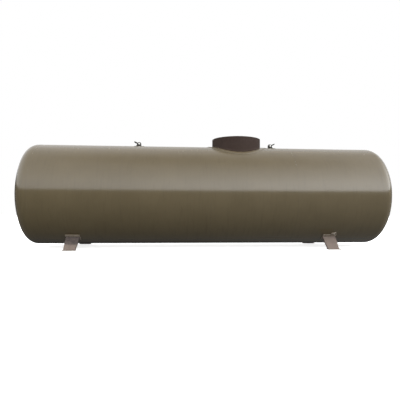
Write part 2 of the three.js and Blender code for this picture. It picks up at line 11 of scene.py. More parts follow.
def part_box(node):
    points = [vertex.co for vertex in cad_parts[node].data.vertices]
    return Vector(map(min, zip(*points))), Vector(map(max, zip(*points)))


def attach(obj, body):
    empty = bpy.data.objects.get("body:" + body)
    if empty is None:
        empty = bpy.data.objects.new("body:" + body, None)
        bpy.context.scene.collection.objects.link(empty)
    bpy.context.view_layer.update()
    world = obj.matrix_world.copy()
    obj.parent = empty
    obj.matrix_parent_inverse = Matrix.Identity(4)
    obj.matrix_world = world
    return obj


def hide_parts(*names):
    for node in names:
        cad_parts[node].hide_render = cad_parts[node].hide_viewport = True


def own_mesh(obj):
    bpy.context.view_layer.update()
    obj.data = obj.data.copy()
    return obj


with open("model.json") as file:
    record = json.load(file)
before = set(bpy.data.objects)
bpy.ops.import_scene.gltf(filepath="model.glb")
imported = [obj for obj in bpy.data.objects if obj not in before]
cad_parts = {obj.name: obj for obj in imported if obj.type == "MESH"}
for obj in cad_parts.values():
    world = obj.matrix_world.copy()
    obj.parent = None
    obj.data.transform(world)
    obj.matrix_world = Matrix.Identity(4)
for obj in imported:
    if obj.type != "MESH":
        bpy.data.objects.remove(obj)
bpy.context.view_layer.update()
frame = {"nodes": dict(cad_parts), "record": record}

# ---- Measures ----------------------------------------------------------------------------


class Box:
    """The room that a node of the frame takes up."""

    def __init__(self, node):
        self.low, self.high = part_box(node)
        self.mid = (self.low + self.high) / 2
        self.size = self.high - self.low


COURSES = {f"shell_course_{number}": Box(f"shell_course_{number}") for number in range(1, 5)}
TANK_R = COURSES["shell_course_2"].size.z / 2
AXIS_Z = COURSES["shell_course_2"].mid.z
SHELL_WALL = 0.012
HEAD_WALL = 0.014
PLATE = 0.010  # pads, collar and feet
GAP = 0.0003
PAD_TOP = PLATE + GAP  # above the tank
PAD_EDGE = 0.0015  # how far a pad's edges are taken off
NEAR = 1e-4  # closer than this to an edge counts as on it
AROUND = 192  # points round the tank
COLLAR_X = Box("collar_wall").mid.x
COLLAR_R = Box("collar_wall").size.x / 2
COVER_TOP = Box("manway_cover").high.z
COVER_R = Box("manway_cover").size.x / 2
UP = Vector((0, 0, 1))

# ---- Mesh building -----------------------------------------------------------------------


def clean_mesh(name, part):
    """A mesh from (vertices, faces), its doubled points merged and its faces turned outward."""
    vertices, faces = part
    mesh = bpy.data.meshes.new(name)
    mesh.from_pydata([tuple(v) for v in vertices], [], faces)
    work = bmesh.new()
    work.from_mesh(mesh)
    bmesh.ops.remove_doubles(work, verts=work.verts, dist=2e-6)
    bmesh.ops.recalc_face_normals(work, faces=work.faces)
    work.to_mesh(mesh)
    work.free()
    return mesh


def make(name, body, look, part, node=None, place=None, sharp=35):
    """A piece that may replace a node, smooth except at edges sharper than sharp degrees."""
    mesh = clean_mesh(name, placed(part, place) if place else part)
    piece = bpy.data.objects.new(name, mesh)
    bpy.context.scene.collection.objects.link(piece)
    mesh.materials.append(look.material)
    mesh.shade_smooth()
    mesh.set_sharp_from_angle(angle=radians(sharp))
    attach(piece, body)
    if node:
        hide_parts(node)
    return piece


def skin(rows, wrap_rows=False, wrap_points=True, cap_ends=False):
    """Vertices and faces joining each row of points to the next."""
    count = len(rows[0])
    vertices = [p for row in rows for p in row]
    faces = []
    for i in range(len(rows) if wrap_rows else len(rows) - 1):
        below, above = i * count, (i + 1) % len(rows) * count
        for j in range(count if wrap_points else count - 1):
            k = (j + 1) % count
            faces.append((below + j, below + k, above + k, above + j))
    if cap_ends:
        faces.append(tuple(range(count))[::-1])
        faces.append(tuple(len(vertices) - count + j for j in range(count)))
    return vertices, faces


def joined(*parts):
    """Several (vertices, faces) parts as one."""
    vertices, faces = [], []
    for part_vertices, part_faces in parts:
        start = len(vertices)
        vertices += list(part_vertices)
        faces += [tuple(start + i for i in face) for face in part_faces]
    return vertices, faces


def placed(part, matrix):
    vertices, faces = part
    return [matrix @ Vector(v) for v in vertices], faces


def shifted(x, y, z=0.0):
    return Matrix.Translation((x, y, z))


def rotated(angle, axis):
    """A turn by an angle in degrees."""
    return Matrix.Rotation(radians(angle), 4, axis)


def full_turn(count):
    return [2 * pi * i / count for i in range(count)]


def polar(r, a, z=0.0):
    return Vector((r * cos(a), r * sin(a), z))


def turned(profile, sides=48, closed=False):
    """A profile of (radius, height) points turned round +Z."""
    return skin([[polar(r, a, h) for a in full_turn(sides)] for r, h in profile], wrap_rows=closed)


def softened(profile, bevel=0.001, steps=3, closed=False):
    """The profile with its corners rounded; ends on the axis stay as they are."""
    count = len(profile)
    points = [Vector(p) for p in profile]
    out = []
    for i, p in enumerate(points):
        if not closed and i in (0, count - 1):
            out.append(tuple(p))
            continue
        back, on = points[i - 1] - p, points[(i + 1) % count] - p
        reach = min(bevel, 0.45 * back.length, 0.45 * on.length)
        start, end = p + back.normalized() * reach, p + on.normalized() * reach
        for s in range(steps + 1):
            t = s / steps
            out.append(tuple(start * (1 - t) ** 2 + p * 2 * t * (1 - t) + end * t * t))
    return out


def soft_ring(profile, bevel, steps, sides):
    """A closed profile, rounded and turned."""
    return turned(softened(profile, bevel, steps, closed=True), sides, closed=True)


def solid_profile(r, low, high):
    return [(0, low), (r, low), (r, high), (0, high)]


def disc(r, low, high, bevel=0.001, sides=48):
    return turned(softened(solid_profile(r, low, high), bevel), sides)


def ring(bore, r, low, high, bevel=0.001, sides=48):
    return soft_ring([(bore, low), (r, low), (r, high), (bore, high)], bevel, 3, sides)


def hexagon(across, low, high, bore=0.0):
    """A hexagonal nut or head with its corners turned off, and a bore if one is given."""
    corner = across / sqrt(3)
    face_r = 0.48 * across
    chamfer = 0.07 * across
    outline = [(bore, low), (face_r, low), (corner, low + chamfer),
               (corner, high - chamfer), (face_r, high), (bore, high)]
    rows = []
    for r, h in outline:
        flats = [(across / 2 / cos(a % (pi / 3) - pi / 6), a) for a in full_turn(48)]
        rows.append([polar(min(r, flat), a, h) for flat, a in flats])
    return skin(rows, wrap_rows=bore > 0)


def taken_from(holder, lift=0.0):
    """The vertices and faces that an object shows, and the object is dropped."""
    bpy.context.scene.collection.objects.link(holder)
    graph = bpy.context.evaluated_depsgraph_get()
    mesh = bpy.data.meshes.new_from_object(holder.evaluated_get(graph))
    vertices = [v.co + Vector((0, 0, lift)) for v in mesh.vertices]
    faces = [tuple(p.vertices) for p in mesh.polygons]
    bpy.data.objects.remove(holder)
    bpy.data.meshes.remove(mesh)
    return vertices, faces


def plate(outline, holes, low, high, bevel=0.001):
    """A flat outline with holes, from height low to high, its edges rounded by bevel."""
    curve = bpy.data.curves.new("outline", "CURVE")
    curve.dimensions = "2D"
    curve.fill_mode = "BOTH"
    for points in (outline, *holes):
        spline = curve.splines.new("POLY")
        spline.points.add(len(points) - 1)
        for target, (x, y) in zip(spline.points, points):
            target.co = (x, y, 0, 1)
        spline.use_cyclic_u = True
    curve.extrude = (high - low) / 2 - bevel
    curve.bevel_depth = bevel
    curve.bevel_resolution = 1
    curve.offset = -bevel
    return taken_from(bpy.data.objects.new("outline", curve), (low + high) / 2)


def drilled(part, tool):
    """The part with the space of the tool cut out of it."""
    blank, cutter = (bpy.data.objects.new("blank", clean_mesh("blank", p)) for p in (part, tool))
    bpy.context.scene.collection.objects.link(cutter)
    change = blank.modifiers.new("cut", "BOOLEAN")
    change.object = cutter
    change.solver = "EXACT"
    result = taken_from(blank)
    bpy.data.objects.remove(cutter)
    return result


def circle(r, count, x=0.0, y=0.0):
    return [(x + r * cos(a), y + r * sin(a)) for a in full_turn(count)]


def rectangle(half_x, half_y, x=0.0):
    return [(x - half_x, -half_y), (x + half_x, -half_y), (x + half_x, half_y), (x - half_x, half_y)]


def arc(x, y, r, start, end, steps):
    """Points of an arc; angles in degrees."""
    angles = [radians(start + (end - start) * i / steps) for i in range(steps + 1)]
    return [(x + r * cos(a), y + r * sin(a)) for a in angles]


def neighbours(points, i, loop):
    """The points behind and ahead of point i, itself where there is none."""
    last = len(points) - 1
    behind = points[i - 1] if loop or i > 0 else points[i]
    ahead = points[(i + 1) % len(points)] if loop or i < last else points[i]
    return behind, ahead


def swept(path, r, sides=12, loop=False):
    """A round bar along a path."""
    points = [Vector(p) for p in path]
    rows = []
    across = None
    for i, p in enumerate(points):
        behind, ahead = neighbours(points, i, loop)
        along = (ahead - behind).normalized()
        if across is None:
            across = along.orthogonal()
        across = (across - along * across.dot(along)).normalized()
        other = along.cross(across)
        rows.append([p + r * (cos(a) * across + sin(a) * other) for a in full_turn(sides)])
    return skin(rows, wrap_rows=loop, cap_ends=not loop)


def smooth_path(points, per_span=6, loop=False):
    """Points of a Catmull-Rom curve through the given ones."""
    p = [Vector(q) for q in points]
    count = len(p)
    out = []
    for i in range(count if loop else count - 1):
        a = p[i - 1] if loop or i > 0 else p[0]
        b, c = p[i], p[(i + 1) % count]
        d = p[(i + 2) % count] if loop or i + 2 < count else c
        for s in range(per_span):
            t = s / per_span
            out.append(0.5 * (2 * b + (c - a) * t + (2 * a - 5 * b + 4 * c - d) * t * t
                              + (3 * b - a - 3 * c + d) * t ** 3))
    return out if loop else out + [p[-1]]


# ---- Materials ---------------------------------------------------------------------------


class Nodes:
    """A node tree with short calls for adding and wiring its nodes."""

    def __init__(self, tree):
        self.tree = tree

    def add(self, kind, **settings):
        node = self.tree.nodes.new(kind)
        for key, value in settings.items():
            setattr(node, key, value)
        return node

    def wire(self, source, target):
        self.tree.links.new(source, target)

    def ramp(self, value, low, high, to_low=0.0, to_high=1.0):
        node = self.add("ShaderNodeMapRange")
        for key, number in (("From Min", low), ("From Max", high), ("To Min", to_low), ("To Max", to_high)):
            node.inputs[key].default_value = number
        self.wire(value, node.inputs["Value"])
        return node.outputs["Result"]

    def math(self, operation, a, b):
        node = self.add("ShaderNodeMath", operation=operation)
        for socket, value in zip(node.inputs, (a, b)):
            if isinstance(value, (int, float)):
                socket.default_value = value
            else:
                self.wire(value, socket)
        return node.outputs["Value"]

    def times(self, first, *others):
        for other in others:
            first = self.math("MULTIPLY", first, other)
        return first

    def plus(self, a, b):
        return self.math("ADD", a, b)

    def split(self, source):
        """The three parts of a vector."""
        node = self.add("ShaderNodeSeparateXYZ")
        self.wire(source, node.inputs["Vector"])
        return [node.outputs[axis] for axis in "XYZ"]


class Shader(Nodes):
    """A look, with the record's slot that it stands for."""

    def __init__(self, name, slot=None):
        self.slot = slot
        self.material = bpy.data.materials.new(name)
        self.material.use_nodes = True
        super().__init__(self.material.node_tree)
        self.main = self.tree.nodes["Principled BSDF"]
        self.place = self.add("ShaderNodeTexCoord").outputs["Object"]

    def noise(self, scale, detail=4.0, roughness=0.5, stretch=(1, 1, 1)):
        mapping = self.add("ShaderNodeMapping")
        mapping.inputs["Scale"].default_value = stretch
        self.wire(self.place, mapping.inputs["Vector"])
        node = self.add("ShaderNodeTexNoise")
        for key, number in (("Scale", scale), ("Detail", detail), ("Roughness", roughness)):
            node.inputs[key].default_value = number
        self.wire(mapping.outputs["Vector"], node.inputs["Vector"])
        return node.outputs["Fac"]

    def spots(self, scale, detail, low, high, to_low=0.0, to_high=1.0, roughness=0.5, stretch=(1, 1, 1)):
        """Noise, spread from one level to another."""
        return self.ramp(self.noise(scale, detail, roughness, stretch), low, high, to_low, to_high)

    def mix(self, amount, a, b):
        node = self.add("ShaderNodeMix", data_type="RGBA")
        self.wire(amount, node.inputs["Factor"])
        for socket, value in ((node.inputs["A"], a), (node.inputs["B"], b)):
            if isinstance(value, tuple):
                socket.default_value = (*value, 1)
            else:
                self.wire(value, socket)
        return node.outputs["Result"]

    def facing(self):
        return self.add("ShaderNodeNewGeometry").outputs["Normal"]

    def edges(self, radius):
        """1 at edges, 0 on open faces."""
        bevel = self.add("ShaderNodeBevel", samples=4)
        bevel.inputs["Radius"].default_value = radius
        product = self.add("ShaderNodeVectorMath", operation="DOT_PRODUCT")
        self.wire(bevel.outputs["Normal"], product.inputs[0])
        self.wire(self.facing(), product.inputs[1])
        return self.ramp(product.outputs["Value"], 0.98, 0.80)

    def bump(self, height, strength, distance):
        node = self.add("ShaderNodeBump")
        node.inputs["Strength"].default_value = strength
        node.inputs["Distance"].default_value = distance
        for link in self.main.inputs["Normal"].links:
            self.wire(link.from_socket, node.inputs["Normal"])
        self.wire(height, node.inputs["Height"])
        self.wire(node.outputs["Normal"], self.main.inputs["Normal"])

    def colour(self, source):
        self.base = source
        self.wire(source, self.main.inputs["Base Color"])

    def cover(self, amount, colour):
        """Another colour over the one there is."""
        self.colour(self.mix(amount, self.base, colour))

    def roughness(self, source):
        self.wire(source, self.main.inputs["Roughness"])

    def set(self, **values):
        for key, value in values.items():
            self.main.inputs[key.replace("_", " ")].default_value = value


def painted(name, slot, colour, second, gloss, dust, dust_most, wear=None):
    """Brushed or sprayed paint on plate: soft mottling, faint runs, dust on top, worn edges."""
    shader = Shader(name, slot)
    shader.colour(shader.mix(shader.spots(1.7, 5, 0.3, 0.7, roughness=0.6), colour, second))
    runs = shader.spots(2.2, 6, 0.52, 0.78, 0.0, 0.35, 0.65, (9, 1, 1))
    shader.cover(runs, tuple(0.62 * c for c in colour))
    upward = shader.ramp(shader.split(shader.facing())[2], 0.0, 1.0)
    lying = shader.times(shader.math("POWER", upward, 2.5), dust_most)
    dusty = shader.times(lying, shader.spots(6, 8, 0.35, 0.8, 0.55, 1, 0.7))
    shader.cover(dusty, dust)
    rough = shader.spots(14, 6, 0.3, 0.75, gloss - 0.05, gloss + 0.08, 0.6)
    shader.roughness(shader.plus(rough, shader.times(dusty, 0.35)))
    if wear:
        shader.cover(shader.times(shader.edges(0.004), shader.spots(55, 6, 0.42, 0.6)), wear)
    shader.bump(shader.noise(420, 2), 0.10, 0.0006)
    shader.bump(shader.noise(38, 4, 0.55), 0.06, 0.002)
    return shader


def sprayed_green(name):
    return painted(name, "tank_paint", (0.071, 0.055, 0.028), (0.081, 0.063, 0.033), gloss=0.16,
                   dust=(0.16, 0.135, 0.11), dust_most=0.35)


def collar_pad_paint():
    """The tank's paint, with painted shade in a dark ring round the collar's foot."""
    shader = sprayed_green("collar_pad_look")
    x, y, _ = shader.split(shader.place)
    along = shader.math("SUBTRACT", x, COLLAR_X)
    squares = shader.plus(shader.times(along, along), shader.times(y, y))
    reach = shader.plus(shader.math("SQRT", squares, 0.0), shader.times(shader.noise(14, 5), 0.02))
    # painted shade where the collar meets the pad: a dark ring out to about 0.56 m from the collar's axis
    shader.cover(shader.ramp(reach, 0.560, 0.568, 0.9, 0.0), (0.030, 0.020, 0.016))
    return shader


def foot_paint():
    """Weathered primer with stains, and painted shade of the tank's belly, blotched, on its upper part."""
    shader = painted("foot_paint_look", "foot_paint", (0.108, 0.078, 0.065), (0.148, 0.110, 0.092),
                     gloss=0.62, dust=(0.22, 0.18, 0.155), dust_most=0.35, wear=(0.12, 0.07, 0.05))
    shader.cover(shader.spots(11, 8, 0.46, 0.66, 0.0, 0.55, 0.72, (2.5, 1, 0.5)), (0.085, 0.078, 0.052))
    # painted shade: the foot darkens above its lower part, where the tank's belly shades it, more on the
    # left feet, in blotches
    x, _, z = shader.split(shader.place)
    rising = shader.plus(z, shader.times(shader.noise(12, 6, 0.6), 0.08))
    belly_shade = shader.times(shader.ramp(rising, 0.135, 0.168), shader.ramp(x, -2.0, 2.0, 1.0, 0.1))
    blotch = shader.spots(26, 9, 0.34, 0.56, 0.6, 1.0, 0.72)
    shader.cover(shader.times(belly_shade, blotch), (0.034, 0.024, 0.022))
    shader.bump(shader.noise(70, 6, 0.6), 0.2, 0.002)
    return shader


def metal(name, slot, colour, second, low, high, grain, stretch=(1, 1, 1), strength=0.1):
    """Bare or plated metal with tone and gloss that vary with its grain."""
    shader = Shader(name, slot)
    shader.colour(shader.mix(shader.spots(grain, 6, 0.3, 0.7, 0, 1, 0.6, stretch), colour, second))
    shader.roughness(shader.spots(grain * 2.3, 5, 0.3, 0.7, low, high, 0.6, stretch))
    shader.bump(shader.noise(grain * 6, 3, 0.5, stretch), strength, 0.0006)
    shader.set(Metallic=1.0)
    return shader


def plain(name, slot, colour, second, tone, gloss, grain=None):
    """Two tones and a spread of gloss, each by its own spots, and a fine bumpy grain."""
    shader = Shader(name, slot)
    shader.colour(shader.mix(shader.spots(*tone), colour, second))
    shader.roughness(shader.spots(*gloss))
    if grain:
        scale, strength, distance = grain
        shader.bump(shader.noise(scale, 2), strength, distance)
    return shader


TANK_PAINT = sprayed_green("tank_paint_look")
COLLAR_PAD_PAINT = collar_pad_paint()
COLLAR_PAINT = painted("collar_paint_look", "collar_paint", (0.027, 0.0170, 0.0135),
                       (0.036, 0.0235, 0.0190), gloss=0.75, dust=(0.15, 0.12, 0.10), dust_most=0.25,
                       wear=(0.16, 0.10, 0.07))
COLLAR_PAINT.set(Specular_IOR_Level=0.15)
FOOT_PAINT = foot_paint()
PAD_PAINT = painted("foot_pad_look", "foot_paint", (0.205, 0.171, 0.130), (0.280, 0.236, 0.182), gloss=0.5,
                    dust=(0.28, 0.24, 0.20), dust_most=0.35, wear=(0.12, 0.08, 0.05))
PAD_PAINT.cover(PAD_PAINT.spots(19, 8, 0.48, 0.64, 0.0, 0.7, 0.72), (0.062, 0.047, 0.038))
LUG_PAINT = painted("lug_paint_look", "lug_paint", (0.016, 0.015, 0.012), (0.026, 0.023, 0.018), gloss=0.5,
                    dust=(0.07, 0.06, 0.05), dust_most=0.2, wear=(0.12, 0.11, 0.10))
WELD = painted("weld_bead_look", "tank_paint", (0.068, 0.053, 0.028), (0.079, 0.062, 0.034), gloss=0.20,
               dust=(0.17, 0.145, 0.12), dust_most=0.36)
WELD.bump(WELD.noise(260, 3), 0.2, 0.0012)
GALVANISED = metal("galvanised_look", "galvanised", (0.075, 0.075, 0.07), (0.13, 0.13, 0.122),
                   low=0.5, high=0.66, grain=60, strength=0.2)
SPANGLE = GALVANISED.add("ShaderNodeTexVoronoi", feature="F1")
SPANGLE.inputs["Scale"].default_value = 160
GALVANISED.wire(GALVANISED.place, SPANGLE.inputs["Vector"])
GALVANISED.bump(SPANGLE.outputs["Distance"], 0.25, 0.0008)
BRIGHT_PIN = metal("bright_pin_look", "galvanised", (0.50, 0.50, 0.48), (0.62, 0.62, 0.60),
                   low=0.35, high=0.5, grain=80, strength=0.15)
STEEL = metal("bare_steel_look", "bare_steel", (0.40, 0.39, 0.37), (0.52, 0.51, 0.49),
              low=0.28, high=0.45, grain=120, stretch=(1, 1, 8))
ZINC = metal("zinc_look", "zinc_steel", (0.55, 0.54, 0.47), (0.62, 0.62, 0.60), low=0.25, high=0.4, grain=90)
BRASS = metal("brass_look", "brass", (0.56, 0.38, 0.14), (0.70, 0.51, 0.24),
              low=0.24, high=0.42, grain=70, strength=0.15)
GASKET = plain("gasket_look", "gasket_rubber", (0.015, 0.015, 0.015), (0.05, 0.05, 0.048),
               tone=(60, 5, 0, 1), gloss=(200, 3, 0.3, 0.7, 0.7, 0.9), grain=(900, 0.2, 0.0005))
GRIP = plain("grip_look", "grip_vinyl", (0.36, 0.022, 0.015), (0.48, 0.05, 0.03),
             tone=(40, 5, 0.3, 0.7), gloss=(90, 4, 0.3, 0.7, 0.38, 0.55), grain=(700, 0.15, 0.0004))
DIAL = plain("dial_look", "dial_white", (0.84, 0.83, 0.79), (0.76, 0.75, 0.70),
             tone=(30, 4, 0.3, 0.8), gloss=(80, 3, 0.3, 0.7, 0.5, 0.65))
BLACK = plain("pointer_look", "pointer_black", (0.010, 0.010, 0.010), (0.025, 0.025, 0.025),
              tone=(80, 3, 0, 1), gloss=(160, 3, 0.3, 0.7, 0.4, 0.55))
GLASS = plain("glass_look", "gauge_glass", (0.97, 0.98, 0.98), (0.93, 0.95, 0.95),
              tone=(12, 3, 0, 1), gloss=(20, 4, 0.4, 0.8, 0.01, 0.06))
GLASS.set(Transmission_Weight=1.0, IOR=1.5)
WHITE = (1, 1, 1, 1)
FLOOR = Shader("floor_look")
FLOOR.colour(FLOOR.mix(FLOOR.noise(0.8, 3), (0.86, 0.86, 0.85), (0.90, 0.90, 0.89)))
FLOOR.set(Roughness=0.9, Emission_Color=WHITE, Emission_Strength=0.75)
LOOKS = (TANK_PAINT, COLLAR_PAINT, FOOT_PAINT, LUG_PAINT, GALVANISED, STEEL, ZINC, GASKET, BRASS, GRIP,
         DIAL, BLACK, GLASS)

# ---- Camera, light and floor -------------------------------------------------------------


def camera():
    data = bpy.data.cameras.new("camera")
    data.lens = 35.0
    holder = bpy.data.objects.new("camera", data)
    holder.location = (-0.787, -8.164, AXIS_Z - 0.300)
    holder.rotation_euler = [radians(a) for a in (91.38, -0.21, -4.58)]
    bpy.context.scene.collection.objects.link(holder)
    bpy.context.scene.camera = holder


def surroundings():
    """A soft studio: bright above a dark surround that rises a little over the horizon."""
    world = bpy.data.worlds.new("studio")
    world.use_nodes = True
    bpy.context.scene.world = world
    world.node_tree.nodes.clear()
    nodes = Nodes(world.node_tree)

    def levels(source, *stops):
        """Brightness by a coordinate from -1 to 1, straight between stops of (coordinate, level)."""
        ramp = nodes.add("ShaderNodeValToRGB")
        nodes.wire(nodes.ramp(source, -1, 1), ramp.inputs["Fac"])
        elements = ramp.color_ramp.elements
        while len(elements) < len(stops):
            elements.new(0.5)
        brightest = max(level for _, level in stops)
        for element, (place, level) in zip(elements, stops):
            shade = level / brightest
            element.position = (place + 1) / 2
            element.color = (shade, shade, shade, 1)
        return nodes.times(ramp.outputs["Color"], brightest)

    x, y, z = nodes.split(nodes.add("ShaderNodeTexCoord").outputs["Generated"])
    ground = nodes.times(
        levels(z, (-1, 0.22), (-0.3, 0.40), (0.145, 0.41), (0.160, 0), (1, 0)),
        levels(x, (-1, 0.75), (-0.25, 0.85), (0.25, 1.1), (1, 1.25)),
        levels(y, (-1, 1), (0.45, 1), (0.68, 0.6), (0.9, 0.12), (1, 0.04)))
    sky = nodes.times(
        levels(z, (-1, 0), (0.145, 0), (0.160, 2.9), (0.5, 2.7), (0.8, 2.05), (0.93, 1.75), (1, 0.9)),
        levels(y, (-1, 1), (-0.3, 1), (0.1, 0.92), (0.35, 0.72), (0.7, 0.6), (0.9, 0.42), (1, 0.24)),
        levels(x, (-1, 1), (0, 1), (0.45, 0.72), (1, 0.62)))
    low_band = nodes.times(
        levels(z, (-1, 0.04), (0.145, 0.1), (0.160, 2.2), (0.45, 1.9), (0.80, 0.8), (0.95, 0), (1, 0)),
        levels(x, (-1, 0.3), (-0.35, 0.35), (-0.1, 0.7), (0.15, 1.35), (0.45, 2.3), (1, 2.5)),
        levels(y, (-1, 1), (-0.1, 1), (0.3, 0.1), (1, 0)))
    glow = nodes.add("ShaderNodeBackground")
    nodes.wire(nodes.plus(ground, nodes.plus(sky, low_band)), glow.inputs["Strength"])
    backdrop = nodes.add("ShaderNodeBackground")
    backdrop.inputs["Color"].default_value = WHITE
    choose = nodes.add("ShaderNodeMixShader")
    nodes.wire(nodes.add("ShaderNodeLightPath").outputs["Is Camera Ray"], choose.inputs["Fac"])
    nodes.wire(glow.outputs["Background"], choose.inputs[1])
    nodes.wire(backdrop.outputs["Background"], choose.inputs[2])
    nodes.wire(choose.outputs["Shader"], nodes.add("ShaderNodeOutputWorld").inputs["Surface"])


def floor():
    reach = 40.0
    mesh = bpy.data.meshes.new("floor")
    mesh.from_pydata([(x, y, 0) for x, y in rectangle(reach, reach)], [], [(0, 1, 2, 3)])
    mesh.materials.append(FLOOR.material)
    holder = bpy.data.objects.new("floor", mesh)
    bpy.context.scene.collection.objects.link(holder)
    holder.visible_glossy = False  # the tank's belly stays dark
    holder.visible_diffuse = False


# ---- Tank --------------------------------------------------------------------------------


def on_tank(x, angle, lift=0.0):
    """A point of the tank's surface, at an angle in radians from its crest towards +Y."""
    r = TANK_R + lift
    return Vector((x, r * sin(angle), AXIS_Z + r * cos(angle)))


def outward(point):
    """The tank's outward direction at a point."""
    return Vector((0, point.y, point.z - AXIS_Z)).normalized()


def saddle(r, angle, lift):
    """Where a line down at radius r from the collar's axis meets the tank, raised by lift."""
    x, y, _ = polar(r, angle)
    return Vector((COLLAR_X + x, y, AXIS_Z + sqrt((TANK_R + lift) ** 2 - y * y)))


def turned_along(profile, x0, direction, closed):
    """A profile of (radius, distance, unevenness) points turned round the tank's axis, from x0."""
    rows = []
    for r, distance, uneven in profile:
        x = x0 + direction * distance
        row = []
        for a in full_turn(AROUND):
            coarse = noise.noise(Vector((0.9 * x, 1.6 * sin(a), 1.6 * cos(a))))
            fine = noise.noise(Vector((2.3 * x + 7, 3.1 * sin(a), 3.1 * cos(a))))
            wave = 0.0011 * coarse + 0.0004 * fine - 0.0004
            row.append(on_tank(x, a, r + uneven * wave - TANK_R))
        rows.append(row)
    return skin(rows, wrap_rows=closed)


def shell_course(node, box):
    length = box.size.x
    steps = 20
    bore = TANK_R - SHELL_WALL
    profile = [(TANK_R, length * i / steps, 1) for i in range(steps + 1)]
    profile += [(bore, length, 0), (bore, 0, 0)]
    part = turned_along(profile, box.low.x, 1, True)
    if box.low.x < COLLAR_X < box.high.x:
        neck_r = Box("manway_neck").size.x / 2
        hole = turned(solid_profile(neck_r + GAP, 0, 1.2 * TANK_R), 96)
        part = drilled(part, placed(hole, shifted(COLLAR_X, 0, AXIS_Z)))
    make(node + "_plate", "tank", TANK_PAINT, part, node)


def head(side):
    node = f"head_{side}"
    box = Box(node)
    seam, out = (box.high.x, -1) if side == "left" else (box.low.x, 1)
    knuckle, crown, skirt = 0.2 * TANK_R, 2 * TANK_R, 0.05
    centre_r = TANK_R - knuckle
    tilt = asin(centre_r / (crown - knuckle))
    crown_centre = skirt - centre_r / tan(tilt)
    uneven_from_r = 0.3
    profile = []
    for wall, uneven in ((0, 1), (HEAD_WALL, 0)):
        dish = arc(0, crown_centre, crown - wall, 90, 90 - degrees(tilt), 22)
        bend = arc(centre_r, skirt, knuckle - wall, 90 - degrees(tilt), 0, 16)
        line = [*dish, *bend[1:], (TANK_R - wall, GAP / 2)]
        line = [(max(r, 0) if i else 0, d, uneven * min(1, max(r, 0) / uneven_from_r))
                for i, (r, d) in enumerate(line)]
        profile += line[::-1] if wall else line
    make(node + "_plate", "tank", TANK_PAINT, turned_along(profile, seam, out, False), node)


def bead(path, normals, width, height, loop=False, seed=0, sink=0.0012):
    """A weld bead along a path, standing on the normals given for its points."""
    last = len(path) - 1
    across_steps = 6
    rows = []
    for i, (p, n) in enumerate(zip(path, normals)):
        behind, ahead = neighbours(path, i, loop)
        along = (ahead - behind).normalized()
        n = (n - along * n.dot(along)).normalized()
        side = along.cross(n)
        vary = 1 + 0.16 * noise.noise(p * 34 + Vector((seed, 0, 0)))
        ripple = 1 + 0.10 * sin(i * 2.1)
        end = 1.0 if loop else min(1.0, 0.25 + 0.25 * i, 0.25 + 0.25 * (last - i))
        row = []
        for k in range(across_steps + 1):
            u = 2 * k / across_steps - 1
            rise = height * vary * ripple * end * (1 - u * u)
            row.append(p + side * (u * width / 2 * vary) + n * rise)
        row += [p + side * (sign * 0.4 * width) - n * sink for sign in (1, -1)]
        rows.append(row)
    return skin(rows, wrap_rows=loop, cap_ends=not loop)


def resampled(points, step, loop=False):
    """Points a step apart along straight lines through the given ones."""
    points = [Vector(p) for p in points]
    if loop:
        points.append(points[0])
    lengths = [(b - a).length for a, b in zip(points, points[1:])]
    total = sum(lengths)
    count = max(4, round(total / step))
    out = []
    for i in range(count if loop else count + 1):
        left = total * i / count
        k = 0
        while k < len(lengths) - 1 and left > lengths[k]:
            left -= lengths[k]
            k += 1
        out.append(points[k].lerp(points[k + 1], min(1.0, left / max(lengths[k], 1e-9))))
    return out


def ring_weld(x, y, r, z, up, count, width, height, seed, sink=0.002):
    """A bead round a pipe at height z, turned up for 1, down for -1 and out for 0."""
    angles = full_turn(count)
    path = [polar(r, a, z) + Vector((x, y, 0)) for a in angles]
    normals = [polar(1, a, up).normalized() for a in angles]
    return bead(path, normals, width, height, True, seed, sink)


def saddle_weld(r, out, lift, count, width, height, seed, raised=0.0):
    """A bead where something upright meets the tank, outside it for 1 and in its bore for -1."""
    angles = full_turn(count)
    path = [saddle(r, a, lift) + raised * UP for a in angles]
    normals = [(polar(out, a) + outward(p)).normalized() for a, p in zip(angles, path)]
    return bead(path, normals, width, height, True, seed, 0.004)


def side_normal(dx, dy, on_x_side):
    """Halfway between up and the side of a block that a point beside it is on."""
    side = (copysign(1, dx), 0, 1) if on_x_side else (0, copysign(1, dy), 1)
    return Vector(side).normalized()


def curved_pad(low_x, high_x, angles, at):
    """A pad on the tank; at gives its points by x, angle and lift."""
    section = [(low_x, PAD_TOP - PAD_EDGE), (low_x + PAD_EDGE, PAD_TOP), (high_x - PAD_EDGE, PAD_TOP),
               (high_x, PAD_TOP - PAD_EDGE), (high_x, GAP), (low_x, GAP)]
    rows = [[at(x, a, lift) for a in angles] for x, lift in section]
    vertices, faces = skin(rows, wrap_rows=True, wrap_points=False)
    for column in (0, len(angles) - 1):
        faces.append(tuple(row * len(angles) + column for row in range(len(rows))))
    return vertices, faces


def pad_rim(low_x, high_x, angles, at, step):
    """Points round a curved pad, each with whether it is on an edge of constant x."""
    rim = [at(low_x, a, 0.001) for a in angles] + [at(high_x, a, 0.001) for a in angles[::-1]]
    path = resampled(rim, step, loop=True)
    return path, [min(abs(p.x - low_x), abs(p.x - high_x)) < NEAR for p in path]


